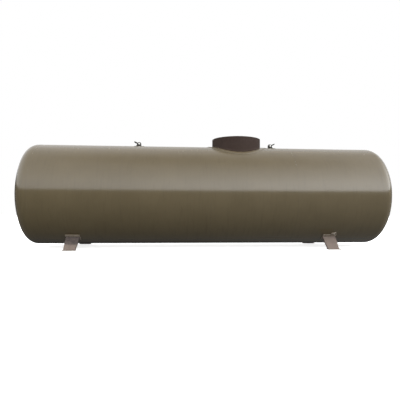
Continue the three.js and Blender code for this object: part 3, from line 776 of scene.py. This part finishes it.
def tank_welds():
    width, height, lift = 0.013, 0.0009, -0.0004
    seams = sorted({round(x, 3) for box in COURSES.values() for x in (box.low.x, box.high.x)})
    angles = full_turn(1100)
    normals = [on_tank(0, a) - on_tank(0, a, -1) for a in angles]
    parts = [bead([on_tank(x, a, lift) for a in angles], normals, width, height, loop=True, seed=number)
             for number, x in enumerate(seams)]
    make("girth_welds", "tank", WELD, joined(*parts), sharp=60)
    parts = []
    for number, box in enumerate(COURSES.values(), 1):
        angle = radians(62 if number % 2 else 38)
        path = resampled([on_tank(box.low.x, angle, lift), on_tank(box.high.x, angle, lift)], 0.006)
        normal = on_tank(0, angle) - on_tank(0, angle, -1)
        parts.append(bead(path, [normal] * len(path), width, height, seed=10 + number))
    make("long_welds", "tank", WELD, joined(*parts), sharp=60)


# ---- Collar and its pad ------------------------------------------------------------------


def reinforcing_pad():
    pad_r = Box("reinforcing_pad").size.x / 2
    section = [(COLLAR_R + GAP, GAP), (COLLAR_R + GAP, PLATE), (COLLAR_R + 0.04, PAD_TOP),
               (pad_r - 0.04, PAD_TOP), (pad_r - PAD_EDGE, PAD_TOP), (pad_r, PAD_TOP - PAD_EDGE),
               (pad_r, GAP)]
    rows = [[saddle(r, a, lift) for a in full_turn(240)] for r, lift in section]
    make("pad_plate", "tank", COLLAR_PAD_PAINT, skin(rows, wrap_rows=True), "reinforcing_pad")
    weld = saddle_weld(pad_r, 1, lift=0.001, count=640, width=0.014, height=0.005, seed=21)
    make("pad_weld", "tank", WELD, weld, sharp=60)


def collar():
    wall_top = Box("collar_wall").high.z
    bore = COLLAR_R - PLATE
    levels = 10
    rows = []
    for r, order in ((COLLAR_R, range(levels + 1)), (bore, range(levels, -1, -1))):
        for level in order:
            row = []
            for a in full_turn(240):
                low_z = saddle(r, a, GAP).z
                dent = 0.0006 * noise.noise(polar(3, a, level / 4))
                z = low_z + (wall_top - low_z) * level / levels
                row.append(polar(r + dent, a, z) + Vector((COLLAR_X, 0, 0)))
            rows.append(row)
    make("collar_plate", "tank", COLLAR_PAINT, skin(rows, wrap_rows=True), "collar_wall")
    rim = Box("collar_rim_ring")
    rim_bore = 0.450
    make("collar_rim", "tank", COLLAR_PAINT, ring(rim_bore, COLLAR_R, rim.low.z, rim.high.z, 0.0022, 240),
         "collar_rim_ring", shifted(COLLAR_X, 0))
    seam_angle = radians(118)
    top = polar(COLLAR_R, seam_angle, wall_top) + Vector((COLLAR_X, 0, 0))
    seam = resampled([saddle(COLLAR_R, seam_angle, PLATE), top], 0.004)
    make("collar_welds", "tank", COLLAR_PAINT, joined(
        saddle_weld(COLLAR_R, 1, lift=PLATE, count=560, width=0.016, height=0.006, seed=31, raised=0.002),
        saddle_weld(bore, -1, lift=0.0, count=560, width=0.016, height=0.006, seed=32, raised=0.002),
        ring_weld(COLLAR_X, 0, COLLAR_R, wall_top, 0, count=560, width=0.005, height=0.0012, seed=33,
                  sink=0.0012),
        bead(seam, [polar(1, seam_angle)] * len(seam), width=0.012, height=0.0018, seed=34)), sharp=60)


# ---- Feet --------------------------------------------------------------------------------

FOOT_LEAN = radians(34)
FOOT_HALF_W = 0.109  # at the ground
FOOT_FLANGE = 0.035  # folded edges, behind the plate's middle
FOOT_PAD_EDGE = 0.006  # pad beyond the plate
FOOT_BASE_EDGE = 0.012  # base beyond the plate
FOOT_HEEL = 0.046  # how far the folded edges reach back at the ground


def foot_details(side, end):
    """The pad on the tank and the welds of one foot; its plate and base are the frame's own."""
    tag = f"{side}_{end}"
    front = -1 if end == "front" else 1
    out = -1 if side == "left" else 1
    pad = Box(f"foot_pad_{tag}")
    reaches = sorted((abs(pad.low.y), abs(pad.high.y)))
    inner, outer = asin(reaches[0] / (TANK_R + GAP)), asin(reaches[1] / (TANK_R + PAD_TOP))
    steps = 24
    angles = [inner + (outer - inner) * i / steps for i in range(steps + 1)]

    def at(x, angle, lift):
        return on_tank(x, pi - front * angle, lift)

    make(f"foot_pad_plate_{tag}", "tank", PAD_PAINT, curved_pad(pad.low.x, pad.high.x, angles, at),
         f"foot_pad_{tag}")

    # where the leaning plate and its folded edges meet the pad
    face_angle = FOOT_LEAN + asin(PLATE / 2 / (TANK_R + PAD_TOP))
    back_angle = FOOT_LEAN - asin(FOOT_FLANGE / (TANK_R + PAD_TOP))
    left_x, right_x = pad.low.x + FOOT_PAD_EDGE, pad.high.x - FOOT_PAD_EDGE
    corners = [(left_x, back_angle), (left_x, face_angle), (right_x, face_angle), (right_x, back_angle)]
    path = resampled([at(x, angle, PAD_TOP) for x, angle in corners], 0.004)
    normals = []
    for p in path:
        away = Vector((copysign(1, p.x - pad.mid.x), 0, 0))
        if left_x + NEAR < p.x < right_x - NEAR:
            away = Vector((0, front * cos(FOOT_LEAN), sin(FOOT_LEAN)))
        normals.append((away + outward(p)).normalized())
    top_weld = bead(path, normals, 0.012, 0.0045, seed=41, sink=0.004)

    path, on_x_edge = pad_rim(pad.low.x, pad.high.x, angles, at, 0.005)
    normals = []
    for p, is_on in zip(path, on_x_edge):
        away = p - pad.mid
        if is_on:
            away = Vector((away.x, 0, 0))
        else:
            away.x = 0
            away -= outward(p) * away.dot(outward(p))
        normals.append((away.normalized() + outward(p)).normalized())
    pad_weld = bead(path, normals, 0.010, 0.004, loop=True, seed=42, sink=0.004)
    make(f"foot_pad_weld_{tag}", "tank", WELD, pad_weld, sharp=60)

    base, channel = Box(f"foot_base_{tag}"), Box(f"foot_channel_{tag}")
    inner_edge = base.high.x if side == "left" else base.low.x
    x = inner_edge + out * (FOOT_HALF_W + FOOT_BASE_EDGE)
    toe_y = channel.low.y if end == "front" else channel.high.y
    heel_y = toe_y - front * FOOT_HEEL
    corners = [(x + sign * FOOT_HALF_W, y, base.high.z)
               for sign, y in ((-1, heel_y), (-1, toe_y), (1, toe_y), (1, heel_y))]
    path = resampled(corners, 0.004)
    normals = [side_normal(p.x - x, front, abs(p.y - toe_y) >= NEAR) for p in path]
    base_weld = bead(path, normals, 0.011, 0.004, seed=43, sink=0.003)
    make(f"foot_welds_{tag}", "tank", FOOT_PAINT, joined(top_weld, base_weld), sharp=60)


def earthing_tab():
    """A tab welded beside one foot's pad, with the bolt that takes the earthing wire."""
    pad = Box("foot_pad_right_front")
    beside = 0.037  # radians
    inboard = 0.066
    angle = asin(-pad.low.y / (TANK_R + PAD_TOP)) + beside
    centre = on_tank(pad.high.x - inboard, pi + angle)
    away = outward(centre)
    tilt = radians(22)
    along = Vector((cos(tilt), -sin(tilt) * cos(angle), sin(tilt) * sin(angle)))
    place = Matrix.Translation(centre) @ Matrix((along, away.cross(along), away)).transposed().to_4x4()
    half_l, half_w, thick = 0.046, 0.017, 0.010
    outline = rectangle(half_l, half_w)
    make("earthing_tab", "tank", PAD_PAINT, plate(outline, [], -0.001, thick, 0.0015), place=place)
    path = resampled([(x, y, 0.0) for x, y in outline], 0.003, loop=True)
    normals = [side_normal(p.x, p.y, abs(abs(p.x) - half_l) < NEAR) for p in path]
    weld = bead(path, normals, 0.008, 0.003, loop=True, seed=44, sink=0.003)
    make("earthing_weld", "tank", PAD_PAINT, weld, place=place, sharp=60)
    washer = disc(0.0125, thick + 0.0002, thick + 0.0024, 0.0004, 40)
    bolt_head = hexagon(0.017, thick + 0.0026, thick + 0.0096)
    shank = disc(0.0049, thick + 0.0094, thick + 0.020, 0.0008, 24)
    make("earthing_bolt", "tank", ZINC, joined(washer, bolt_head, shank), place=place)


def soften_node(node, width):
    """Rounds the edges of a part that keeps the frame's own shape."""
    change = frame["nodes"][node].modifiers.new("edges", "BEVEL")
    change.width = width
    change.segments = 2
    change.limit_method = "ANGLE"
    change.angle_limit = radians(40)
    change.harden_normals = True


# ---- Lifting lugs and shackles -----------------------------------------------------------


def lug(side):
    out = -1 if side == "left" else 1
    node = f"lifting_lug_{side}"
    eye, box, pad = Box(f"shackle_pin_{side}").mid, Box(node), Box(f"lug_pad_{side}")
    head_r, hole_r = box.high.z - eye.z, 0.0165
    clear = 0.0004  # between the lug's flat foot and its pad
    foot_z = AXIS_Z + TANK_R + PAD_TOP + clear - eye.z
    reach = max(abs(box.low.x - eye.x), abs(box.high.x - eye.x))
    sloped_foot = degrees(atan2(foot_z, -reach)) + 360
    half = degrees(acos(head_r / hypot(reach, foot_z)))
    outline = [*arc(0, 0, head_r, 0, sloped_foot - half, 40), (-reach, foot_z), (head_r, foot_z)]
    outline = [(-out * x, z) for x, z in outline]
    half_t = box.size.y / 2
    shape = plate(outline, [circle(hole_r, 48)], -half_t, half_t, 0.0018)
    make(node + "_plate", "tank", LUG_PAINT, shape, node, shifted(eye.x, 0, eye.z) @ rotated(90, "X"))

    low_x, high_x = (eye.x + end(x for x, _ in outline) for end in (min, max))
    middle_x = (low_x + high_x) / 2
    corners = [(x, y, AXIS_Z + sqrt((TANK_R + PAD_TOP) ** 2 - y * y))
               for x, y in rectangle((high_x - low_x) / 2, half_t, middle_x)]
    path = resampled(corners, 0.003, loop=True)
    normals = [side_normal(p.x - middle_x, p.y, abs(abs(p.y) - half_t) > NEAR) for p in path]
    foot_weld = bead(path, normals, 0.013, 0.005, loop=True, seed=51, sink=0.004)

    spread = asin(pad.high.y / (TANK_R + PAD_TOP))
    angles = [spread * (i / 10 - 1) for i in range(21)]
    make(f"lug_pad_plate_{side}", "tank", TANK_PAINT, curved_pad(pad.low.x, pad.high.x, angles, on_tank),
         f"lug_pad_{side}")
    path, on_x_edge = pad_rim(pad.low.x, pad.high.x, angles, on_tank, 0.004)
    normals = []
    for p, is_on in zip(path, on_x_edge):
        away = (copysign(1, p.x - middle_x), 0, 0) if is_on else (0, copysign(1, p.y), 0)
        normals.append((Vector(away) + outward(p)).normalized())
    pad_weld = bead(path, normals, 0.011, 0.004, loop=True, seed=52, sink=0.004)
    make(f"lug_welds_{side}", "tank", WELD, joined(foot_weld, pad_weld), sharp=60)


def shackle(side):
    """A bow shackle on the lug's eye, drawn lying along +x from its pin and turned up to its place."""
    body = f"{side}_shackle"
    pin_node = f"shackle_pin_{side}"
    eye = Box(pin_node).mid
    lift = 25
    place = shifted(eye.x, 0, eye.z) @ rotated(-lift if side == "right" else lift - 180, "Y")
    along_y = rotated(-90, "X")
    jaw, bar_r, pin_r = 0.037, 0.011, 0.0125
    eye_r, eye_t = 0.025, 0.023
    bow_x, bow_r = 0.067, 0.040
    arm = jaw / 2 + bar_r
    half = [(0.020, arm), (0.034, arm + 0.002), (0.048, bow_r - 0.002)]
    outline = [*half, *arc(bow_x, 0, bow_r, 76, -76, 14), *((x, -y) for x, y in half[::-1])]
    parts = [swept(smooth_path([(x, y, 0) for x, y in outline], 4), bar_r, 20)]
    boss = ring(pin_r + GAP, eye_r, -eye_t / 2, eye_t / 2, 0.003, 40)
    parts += [placed(boss, shifted(0, sign * (jaw + eye_t) / 2) @ along_y) for sign in (1, -1)]
    make(f"shackle_bow_forging_{side}", body, GALVANISED, joined(*parts), f"shackle_bow_{side}", place)

    outer = jaw / 2 + eye_t
    head_r, head_end = 0.0175, -outer - 0.012
    thread_start, thread_end, pitch = outer + 0.001, outer + 0.030, 0.0025
    profile = [(0, head_end), (head_r - 0.003, head_end), (head_r, head_end + 0.003),
               (head_r, -outer - 0.002), (head_r - 0.001, -outer - GAP), (pin_r, -outer - GAP),
               (pin_r, thread_start)]
    ridge = thread_start
    while ridge < thread_end - pitch:
        profile += [(pin_r - 0.0008, ridge + pitch / 2), (pin_r - 0.0001, ridge + pitch)]
        ridge += pitch
    profile += [(pin_r - 0.002, thread_end), (0, thread_end)]
    pin = placed(turned(profile, 32), along_y)
    cotter_y, wire_r = outer + 0.0255, 0.0013
    loop = smooth_path([(0, cotter_y, -0.019), (0.0035, cotter_y, -0.021), (0, cotter_y, -0.024),
                        (-0.0035, cotter_y, -0.021)], 5, loop=True)
    split_pin = [swept(loop, wire_r, 8, loop=True)]
    for sign in (1, -1):
        leg = [(0, cotter_y + sign * 0.0012, z) for z in (-0.020, -0.013, 0.0, 0.012)]
        leg += [(0, cotter_y + sign * 0.005, 0.017), (0.002, cotter_y + sign * 0.010, 0.018)]
        split_pin.append(swept(smooth_path(leg, 4), wire_r, 8))
    make(f"shackle_pin_forging_{side}", body, BRIGHT_PIN, joined(pin, *split_pin), pin_node, place)
    nut_across, nut_t = 0.0415, 0.020
    nut = hexagon(nut_across, outer + GAP, outer + nut_t, pin_r + GAP)
    make(f"shackle_hex_nut_{side}", body, BRIGHT_PIN, nut, f"shackle_nut_{side}", place @ along_y)


# ---- Manway ------------------------------------------------------------------------------

BOLTS = 20
BOLT_CIRCLE_R = 0.310
BOLT_HOLE_R = 0.013
STUD_R = 0.012
NUT_ACROSS = 0.036
NUT_T = 0.020
WASHER_T = 0.0035
WASHER_R = 0.0215
PIPE_BORES = {"inlet_pipe": 0.026, "outlet_pipe": 0.026, "drain_dip_tube": 0.0135, "relief_pipe": 0.011}
GAUGE_STEM_R = 0.008


def bolt_angles():
    return [2 * pi * (i + 0.5) / BOLTS for i in range(BOLTS)]


def bolt_holes():
    centres = [polar(BOLT_CIRCLE_R, a) for a in bolt_angles()]
    return [circle(BOLT_HOLE_R, 20, p.x, p.y) for p in centres]


def threaded(r, low, high, bare_low, bare_high, pitch=0.003):
    """A stud with thread ridges, plain between bare_low and bare_high."""
    tip, depth, relief = 0.0015, 0.0010, 0.0003
    profile = [(0, low), (r - tip, low), (r, low + tip)]
    h = low + tip
    while h < high - tip - pitch:
        if bare_low < h < bare_high:
            profile += [(r - relief, h), (r - relief, bare_high)]
            h = bare_high
        profile += [(r - depth, h + pitch / 2), (r, h + pitch)]
        h += pitch
    profile += [(r, high - tip), (r - tip, high), (0, high)]
    return turned(profile, 20)


def manway():
    centre = shifted(COLLAR_X, 0)
    neck, flange, gasket = Box("manway_neck"), Box("manway_flange"), Box("manway_gasket")
    neck_r = neck.size.x / 2
    tube = ring(neck_r - PLATE, neck_r, neck.low.z, neck.high.z, 0.001, 96)
    make("manway_neck_tube", "tank", TANK_PAINT, tube, "manway_neck", centre)
    holes = [circle(neck_r + GAP, 96), *bolt_holes()]
    flange_ring = plate(circle(COVER_R, 128), holes, flange.low.z, flange.high.z, 0.0018)
    make("manway_flange_ring", "tank", COLLAR_PAINT, flange_ring, "manway_flange", centre)
    sheet = ring(neck_r, gasket.size.x / 2, gasket.low.z, gasket.high.z, 0.0004, 96)
    make("manway_gasket_sheet", "tank", GASKET, sheet, "manway_gasket", centre)
    make("manway_welds", "tank", WELD, joined(
        ring_weld(COLLAR_X, 0, neck_r, flange.low.z, -1, count=420, width=0.013, height=0.005, seed=61,
                  sink=0.004),
        saddle_weld(neck_r, 1, lift=0.001, count=420, width=0.016, height=0.006, seed=62)), sharp=60)

    under, nut_low = flange.low.z, COVER_TOP + WASHER_T
    stud = threaded(STUD_R, under - NUT_T - 0.007, nut_low + NUT_T + 0.008, under, COVER_TOP)
    low_nut = hexagon(NUT_ACROSS, under - NUT_T, under, STUD_R)
    washer = ring(STUD_R + 0.0008, WASHER_R, COVER_TOP, nut_low, 0.0005, 32)
    nut = hexagon(NUT_ACROSS, nut_low, nut_low + NUT_T, STUD_R)
    places = [Matrix.Translation(polar(BOLT_CIRCLE_R, a) + Vector((COLLAR_X, 0, 0)))
              @ Matrix.Rotation(a * 3 + number, 4, "Z") for number, a in enumerate(bolt_angles())]
    for name, body, shape, sharp in (
            ("manway_studs", "tank", stud, 50), ("manway_lower_nuts", "tank", low_nut, 35),
            ("manway_washers", "manway_lid", washer, 35), ("manway_nuts", "manway_lid", nut, 35)):
        make(name, body, ZINC, joined(*(placed(shape, place) for place in places)), sharp=sharp)


def cover():
    box = Box("manway_cover")
    pipes = [Box(node) for node in PIPE_BORES]
    holes = [circle(p.size.x / 2 + GAP, 40, p.mid.x - COLLAR_X, p.mid.y) for p in pipes]
    holes.append(circle(GAUGE_STEM_R + GAP, 32, Box("gauge_case").mid.x - COLLAR_X))
    shape = plate(circle(COVER_R, 128), [*bolt_holes(), *holes], box.low.z, box.high.z, 0.0018)
    make("manway_cover_plate", "manway_lid", COLLAR_PAINT, shape, "manway_cover", shifted(COLLAR_X, 0))
    welds = [ring_weld(p.mid.x, p.mid.y, p.size.x / 2, box.high.z, 1, count=90, width=0.009, height=0.0035,
                       seed=70 + number) for number, p in enumerate(pipes)]
    make("cover_pipe_welds", "manway_lid", COLLAR_PAINT, joined(*welds), sharp=60)
    for (node, bore), p in zip(PIPE_BORES.items(), pipes):
        tube = ring(bore, p.size.x / 2, p.low.z, p.high.z, 0.0008)
        make(node + "_tube", "manway_lid", STEEL, tube, node, shifted(p.mid.x, p.mid.y))


def cover_handle(end):
    node = f"cover_handle_{end}"
    box = Box(node)
    foot_r, foot_t, bar_r, bend = 0.013, 0.006, 0.007, 0.018
    span = box.size.x / 2 - foot_r
    top = box.high.z - bar_r - COVER_TOP
    path = [(-span, 0, 0.004), (-span, 0, top - bend)]
    path += [(-span + bend + x, 0, top - bend + z) for x, z in arc(0, 0, bend, 180, 90, 8)[1:]]
    path += [(-x, 0, z) for x, _, z in path[::-1]]
    parts = [swept(resampled(path, 0.003), bar_r, 20)]
    for x in (-span, span):
        parts.append(placed(disc(foot_r, GAP, foot_t, 0.0015, 32), shifted(x, 0)))
        parts.append(ring_weld(x, 0, bar_r, foot_t, 1, count=40, width=0.006, height=0.0025, seed=80,
                               sink=0.0012))
    make(node + "_bar", "manway_lid", COLLAR_PAINT, joined(*parts), node,
         shifted(COLLAR_X, box.mid.y, COVER_TOP))


def inlet_flange():
    """A slip-on flange, its raised face grooved."""
    box = Box("inlet_flange")
    x, y, top = box.mid.x, box.mid.y, box.high.z
    pipe_r = Box("inlet_pipe").size.x / 2
    hole_r, circle_r = 0.009, 0.0625
    holes = [circle(pipe_r + GAP, 48)]
    holes += [circle(hole_r, 24, *centre) for centre in arc(0, 0, circle_r, 45, 315, 3)]
    body = plate(circle(box.size.x / 2, 96), holes, box.low.z, top - 0.0016, 0.0012)
    face_r, face_foot, step = 0.047, top - 0.002, 0.0009
    count = int((face_r - pipe_r) / step)
    grooves = [(pipe_r + 0.0008 + i * step, top - 0.0003 * (i % 2)) for i in range(count)]
    face = turned([(pipe_r + GAP, face_foot), *grooves, (face_r, face_foot)], 72, closed=True)
    make("inlet_slip_flange", "manway_lid", STEEL, joined(body, face), "inlet_flange", shifted(x, y))
    weld = ring_weld(x, y, pipe_r, box.low.z, -1, count=100, width=0.009, height=0.0035, seed=90)
    make("inlet_flange_weld", "manway_lid", STEEL, weld, sharp=60)


# ---- Valves and gauge --------------------------------------------------------------------


def dipped_grip(start, end, half_w, half_t):
    """A grip along +x: thicker at its mouth, ribbed, rounded at its tip."""
    steps, ribs = 64, 15
    rows = []
    for i in range(steps + 1):
        t = i / steps
        x = start + (end - start) * t
        in_tip = max(0.0, (x - (end - half_w)) / half_w)
        tip = min(1.0, sqrt(max(0.0, 1 - in_tip ** 2)) + 0.02)
        mouth = 1 + 0.12 * exp(-((x - start) / 0.004) ** 2)
        ribbed = 1 - 0.05 * (0.5 + 0.5 * cos(t * 2 * pi * ribs)) * (0.12 < t < 0.86)
        row = []
        for a in full_turn(28):
            across, over = (copysign(abs(v) ** 0.55, v) for v in (cos(a), sin(a)))
            thickness = half_t * mouth * (0.35 + 0.65 * tip)
            row.append((x, half_w * tip * ribbed * across, thickness * ribbed * over))
        rows.append(row)
    return skin(rows, cap_ends=True)


def ball_valve(name, pipe, half, barrel_r, end_r, bore, stem_r, boss_y, lever_length, lever_w, ball_r):
    """A lever ball valve: cast body with hexagon ends, ball and stem, flat lever and dipped grip."""
    handle = f"{name}_handle"
    pipe_mid = Box(pipe).mid
    centre = shifted(pipe_mid.x, pipe_mid.y, Box(f"{name}_valve_body").mid.z)
    to_front = rotated(90, "X")
    barrel = []
    for bulge, height in arc(0, 0, 1, -62, 62, 14):
        barrel.append((barrel_r * (0.60 + 0.40 * bulge), 0.74 * half * height / sin(radians(62))))
    parts = [soft_ring([(bore, barrel[0][1]), *barrel, (bore, barrel[-1][1])], 0.001, 2, 56)]
    for sign in (1, -1):
        ends = sorted((sign * half, sign * (half - 0.34 * half)))
        parts.append(hexagon(2 * end_r * 0.93, *ends, bore))
    boss_r = 1.9 * stem_r
    boss_bore = stem_r + 0.0006
    parts.append(placed(ring(boss_bore, boss_r, barrel_r * 0.72, boss_y, 0.001, 40), to_front))
    parts.append(placed(hexagon(boss_r * 1.7, boss_y - 0.009, boss_y - 0.002, boss_bore), to_front))
    make(f"{name}_valve_casting", "manway_lid", BRASS, joined(*parts), f"{name}_valve_body", centre)

    lever_t = 0.006
    near, far = boss_y + GAP, boss_y + GAP + lever_t
    outline = [(ball_r * sin(radians(a)), -ball_r * cos(radians(a))) for a in range(0, 181, 6)]
    port = placed(turned(solid_profile(0.9 * bore, -2 * ball_r, 2 * ball_r)), rotated(90, "Y"))
    ball = drilled(turned(outline, 60), port)
    stem = threaded(stem_r, 0.85 * ball_r, far + 0.008, 0.85 * ball_r + 0.002, near, 0.0015)
    make(f"{name}_valve_ball_and_stem", handle, STEEL, joined(ball, placed(stem, to_front)),
         f"{name}_valve_ball", centre)

    start = degrees(asin(0.46 * lever_w / boss_r))
    tip_r = lever_w / 2
    outline = arc(0, 0, boss_r, start, 360 - start, 28) + arc(lever_length - tip_r, 0, tip_r, -90, 90, 16)
    lever = plate(outline, [circle(stem_r + GAP, 32)], near, far, 0.0009)
    nut = hexagon(3.3 * stem_r, far + 0.0002, far + 0.0002 + 0.8 * stem_r, stem_r)
    make(f"{name}_valve_flat_lever", handle, ZINC, joined(lever, nut), f"{name}_valve_lever",
         centre @ to_front)

    coat = 0.0024
    grip = dipped_grip(0.35 * lever_length, lever_length + coat, lever_w / 2 + coat, lever_t / 2 + coat)
    make(f"{name}_valve_dipped_grip", handle, GRIP, grip, f"{name}_valve_grip",
         centre @ to_front @ shifted(0, 0, (near + far) / 2))


def relief_valve():
    pipe = Box("relief_pipe")
    x, y, bore = pipe.mid.x, pipe.mid.y, pipe.size.x / 2 + GAP
    place = shifted(x, y, COVER_TOP)
    inside = 0.0155
    lower = [(0.019, 0.0300), (0.019, 0.066), (0.0225, 0.069), (0.0225, 0.078), (inside, 0.078),
             (inside, 0.044), (0.011, 0.044), (0.011, 0.0300), (bore, 0.0300)]
    nozzle = soft_ring([(0.010, 0.0165), (0.0150, 0.0165), (0.0150, 0.046), (0.010, 0.046)], 0.0012, 3, 40)
    casting = joined(soft_ring(lower, 0.0008, 2, 48), hexagon(0.0415, 0.018, 0.0306, bore),
                     placed(nozzle, shifted(0, 0, 0.052) @ rotated(90, "Y")))
    make("relief_valve_casting", "manway_lid", BRASS, casting, "relief_valve_body", place)
    cap = [(inside, 0.0783), (0.019, 0.0783), (0.019, 0.124), (0.012, 0.132), (0.0046, 0.132),
           (0.0046, 0.122), (inside, 0.122)]
    bonnet = joined(soft_ring(cap, 0.0008, 2, 48), hexagon(0.0395, 0.0785, 0.088, 0.017))
    make("relief_valve_spring_bonnet", "manway_lid", BRASS, bonnet, "relief_valve_bonnet", place)
    spindle = [(0, 0.0443), (0.013, 0.0443), (0.013, 0.049), (0.004, 0.050), (0.004, 0.066),
               (0.013, 0.066), (0.013, 0.069), (0.004, 0.0695), (0.004, 0.144), (0, 0.144)]
    stem = turned(softened(spindle, 0.0005, 2), 32)
    pull_r, pull_z, wire_r = 0.013, 0.154, 0.002
    pull = swept([(px, 0, pz) for px, pz in circle(pull_r, 48, 0, pull_z)], wire_r, 12, loop=True)
    make("relief_valve_spindle_and_ring", "relief_spindle", ZINC, joined(stem, pull), "relief_valve_spindle",
         place)
    # the spring is held at its top, with the lid, and does not shorten as the spindle lifts
    box = Box("relief_valve_spring")
    low, high = box.low, box.high
    wire, coil_r, turns, lift = 0.0016, 0.010, 5, 0.004
    steps = 24 * turns
    rise = (high.z - low.z - 2 * wire) / steps
    path = [polar(coil_r, 2 * pi * turns * i / steps, low.z + wire + rise * i) + Vector((x, y, 0))
            for i in range(steps + 1)]
    spring = make("relief_valve_coil_spring", "manway_lid", STEEL, swept(path, wire, 10),
                  "relief_valve_spring")
    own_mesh(spring)


def gauge():
    """A dial gauge, drawn about the middle of its case."""
    case = Box("gauge_case")
    x, y, case_r = case.mid.x, case.mid.y, case.size.x / 2
    place = shifted(x, y, COVER_TOP)
    back, front_z = case.low.z - COVER_TOP, case.high.z - COVER_TOP
    shell = [(0, back), (0.020, back), (case_r - 0.004, back + 0.0005), (case_r - 0.001, back + 0.004),
             (case_r - 0.001, front_z - 0.010), (case_r, front_z - 0.009), (case_r, front_z - 0.002),
             (case_r - 0.0015, front_z), (case_r - 0.005, front_z), (case_r - 0.007, front_z - 0.003),
             (case_r - 0.003, front_z - 0.003), (case_r - 0.003, back + 0.004), (0, back + 0.004)]
    make("gauge_case_and_bezel", "manway_lid", STEEL, turned(softened(shell, 0.0008, 3), 96), "gauge_case",
         place)
    dial_z = Box("gauge_dial").high.z - COVER_TOP
    dial = disc(case_r - 0.0035, dial_z - 0.0015, dial_z, 0.0003, 96)
    make("gauge_dial_plate", "manway_lid", DIAL, dial, "gauge_dial", place)

    zero, sweep, scale_r, figure_r = 225, 270, 0.0375, 0.0245
    ink = dial_z + 0.0003
    marks = []
    for i in range(41):
        length, width = (0.0036, 0.0005) if i % 5 else (0.0065, 0.0011)
        outline = rectangle(length / 2, width / 2, scale_r - length / 2)
        marks.append(placed(plate(outline, [], dial_z, ink, 0.00005), rotated(zero - sweep * i / 40, "Z")))
    marks.append(ring(scale_r, scale_r + 0.0005, dial_z, ink, 0.00005, 96))
    for i in range(5):
        figure = bpy.data.curves.new("figure", "FONT")
        figure.body = str(4 * i)
        figure.size = 0.0085
        figure.align_x = figure.align_y = "CENTER"
        figure.extrude = 0.00015
        where = polar(figure_r, radians(zero - sweep * i / 4), dial_z + figure.extrude)
        marks.append(placed(taken_from(bpy.data.objects.new("figure", figure)), Matrix.Translation(where)))
    make("gauge_dial_marks", "manway_lid", BLACK, joined(*marks), place=place)

    pointer_z = Box("gauge_pointer").mid.z - COVER_TOP - 0.001
    needle = plate([(-0.012, -0.0022), (-0.004, -0.0013), (0.035, -0.0004), (0.036, 0), (0.035, 0.0004),
                    (-0.004, 0.0013), (-0.012, 0.0022)], [], pointer_z, pointer_z + 0.0010, 0.0001)
    hub = disc(0.0042, pointer_z - 0.0006, pointer_z + 0.0028, 0.0008, 32)
    make("gauge_needle_pointer", "gauge_needle", BLACK, joined(needle, hub), "gauge_pointer",
         place @ rotated(zero, "Z"))
    glass = Box("gauge_glass")
    pane = disc(glass.size.x / 2, glass.low.z, glass.high.z, 0.0004, 96)
    make("gauge_window", "manway_lid", GLASS, pane, "gauge_glass", shifted(x, y))
    stem_low = Box("gauge_stem").low.z - COVER_TOP
    bore, neck_z = 0.0035, 0.018
    thread_r, neck_r = GAUGE_STEM_R, 0.009
    thread = [(bore, stem_low), (thread_r - 0.0005, stem_low), (thread_r, stem_low + 0.001),
              (thread_r, neck_z), (neck_r, neck_z), (neck_r, back - GAP), (bore, back - GAP)]
    fitting = joined(soft_ring(thread, 0.0003, 2, 32), hexagon(0.026, neck_z, 0.044, 0.0085))
    make("gauge_stem_fitting", "manway_lid", BRASS, fitting, "gauge_stem", place)


def name_plate():
    """A blank plate: its raised border and four rivets lie on the frame's own plate."""
    node = "name_plate"
    facing = Vector((0, sin(radians(45)), cos(radians(45))))
    axis = Vector((0, 0, AXIS_Z))
    top = max((v.co - axis).dot(facing) for v in frame["nodes"][node].data.vertices)
    place = shifted(Box(node).mid.x, 0, AXIS_Z) @ rotated(-45, "X") @ shifted(0, 0, top)
    half_l, half_h, border = 0.066, 0.041, 0.0022
    inner = rectangle(half_l - border, half_h - border)[::-1]
    parts = [plate(rectangle(half_l, half_h), [inner], 0, 0.0008, 0.0002)]
    rivet_r, rivet_h, sunk = 0.0032, 0.0016, -0.0004
    dome = [(0, rivet_h)]
    dome += [(rivet_r * sin(radians(a)), rivet_h * cos(radians(a))) for a in range(15, 91, 15)]
    rivet = turned([*dome, (rivet_r, sunk), (0, sunk)], 20)
    parts += [placed(rivet, shifted(x, y)) for x in (-0.070, 0.070) for y in (-0.0455, 0.0455)]
    make("name_plate_border", "tank", STEEL, joined(*parts), place=place)


camera()
surroundings()
floor()
for course, box in COURSES.items():
    shell_course(course, box)
for side in ("left", "right"):
    head(side)
tank_welds()
for row in frame["record"]["subparts"]:
    materials = frame["nodes"][row["node"]].data.materials
    materials.clear()
    materials.append(next(look.material for look in LOOKS if look.slot == row["material_slot"]))

reinforcing_pad()
collar()
for side in ("left", "right"):
    lug(side)
    shackle(side)
    for end in ("front", "rear"):
        foot_details(side, end)
        soften_node(f"foot_channel_{side}_{end}", 0.0022)
        soften_node(f"foot_base_{side}_{end}", 0.0018)
earthing_tab()
manway()
cover()
for end in ("front", "rear"):
    cover_handle(end)
inlet_flange()
ball_valve("outlet", "outlet_pipe", half=0.050, barrel_r=0.043, end_r=0.038, bore=0.024, stem_r=0.008,
           boss_y=0.062, lever_length=0.165, lever_w=0.024, ball_r=0.033)
ball_valve("drain", "drain_dip_tube", half=0.032, barrel_r=0.026, end_r=0.022, bore=0.012, stem_r=0.0055,
           boss_y=0.038, lever_length=0.100, lever_w=0.016, ball_r=0.017)
relief_valve()
gauge()
name_plate()
soften_node("name_plate", 0.0005)

bpy.context.scene.view_settings.view_transform = "Standard"
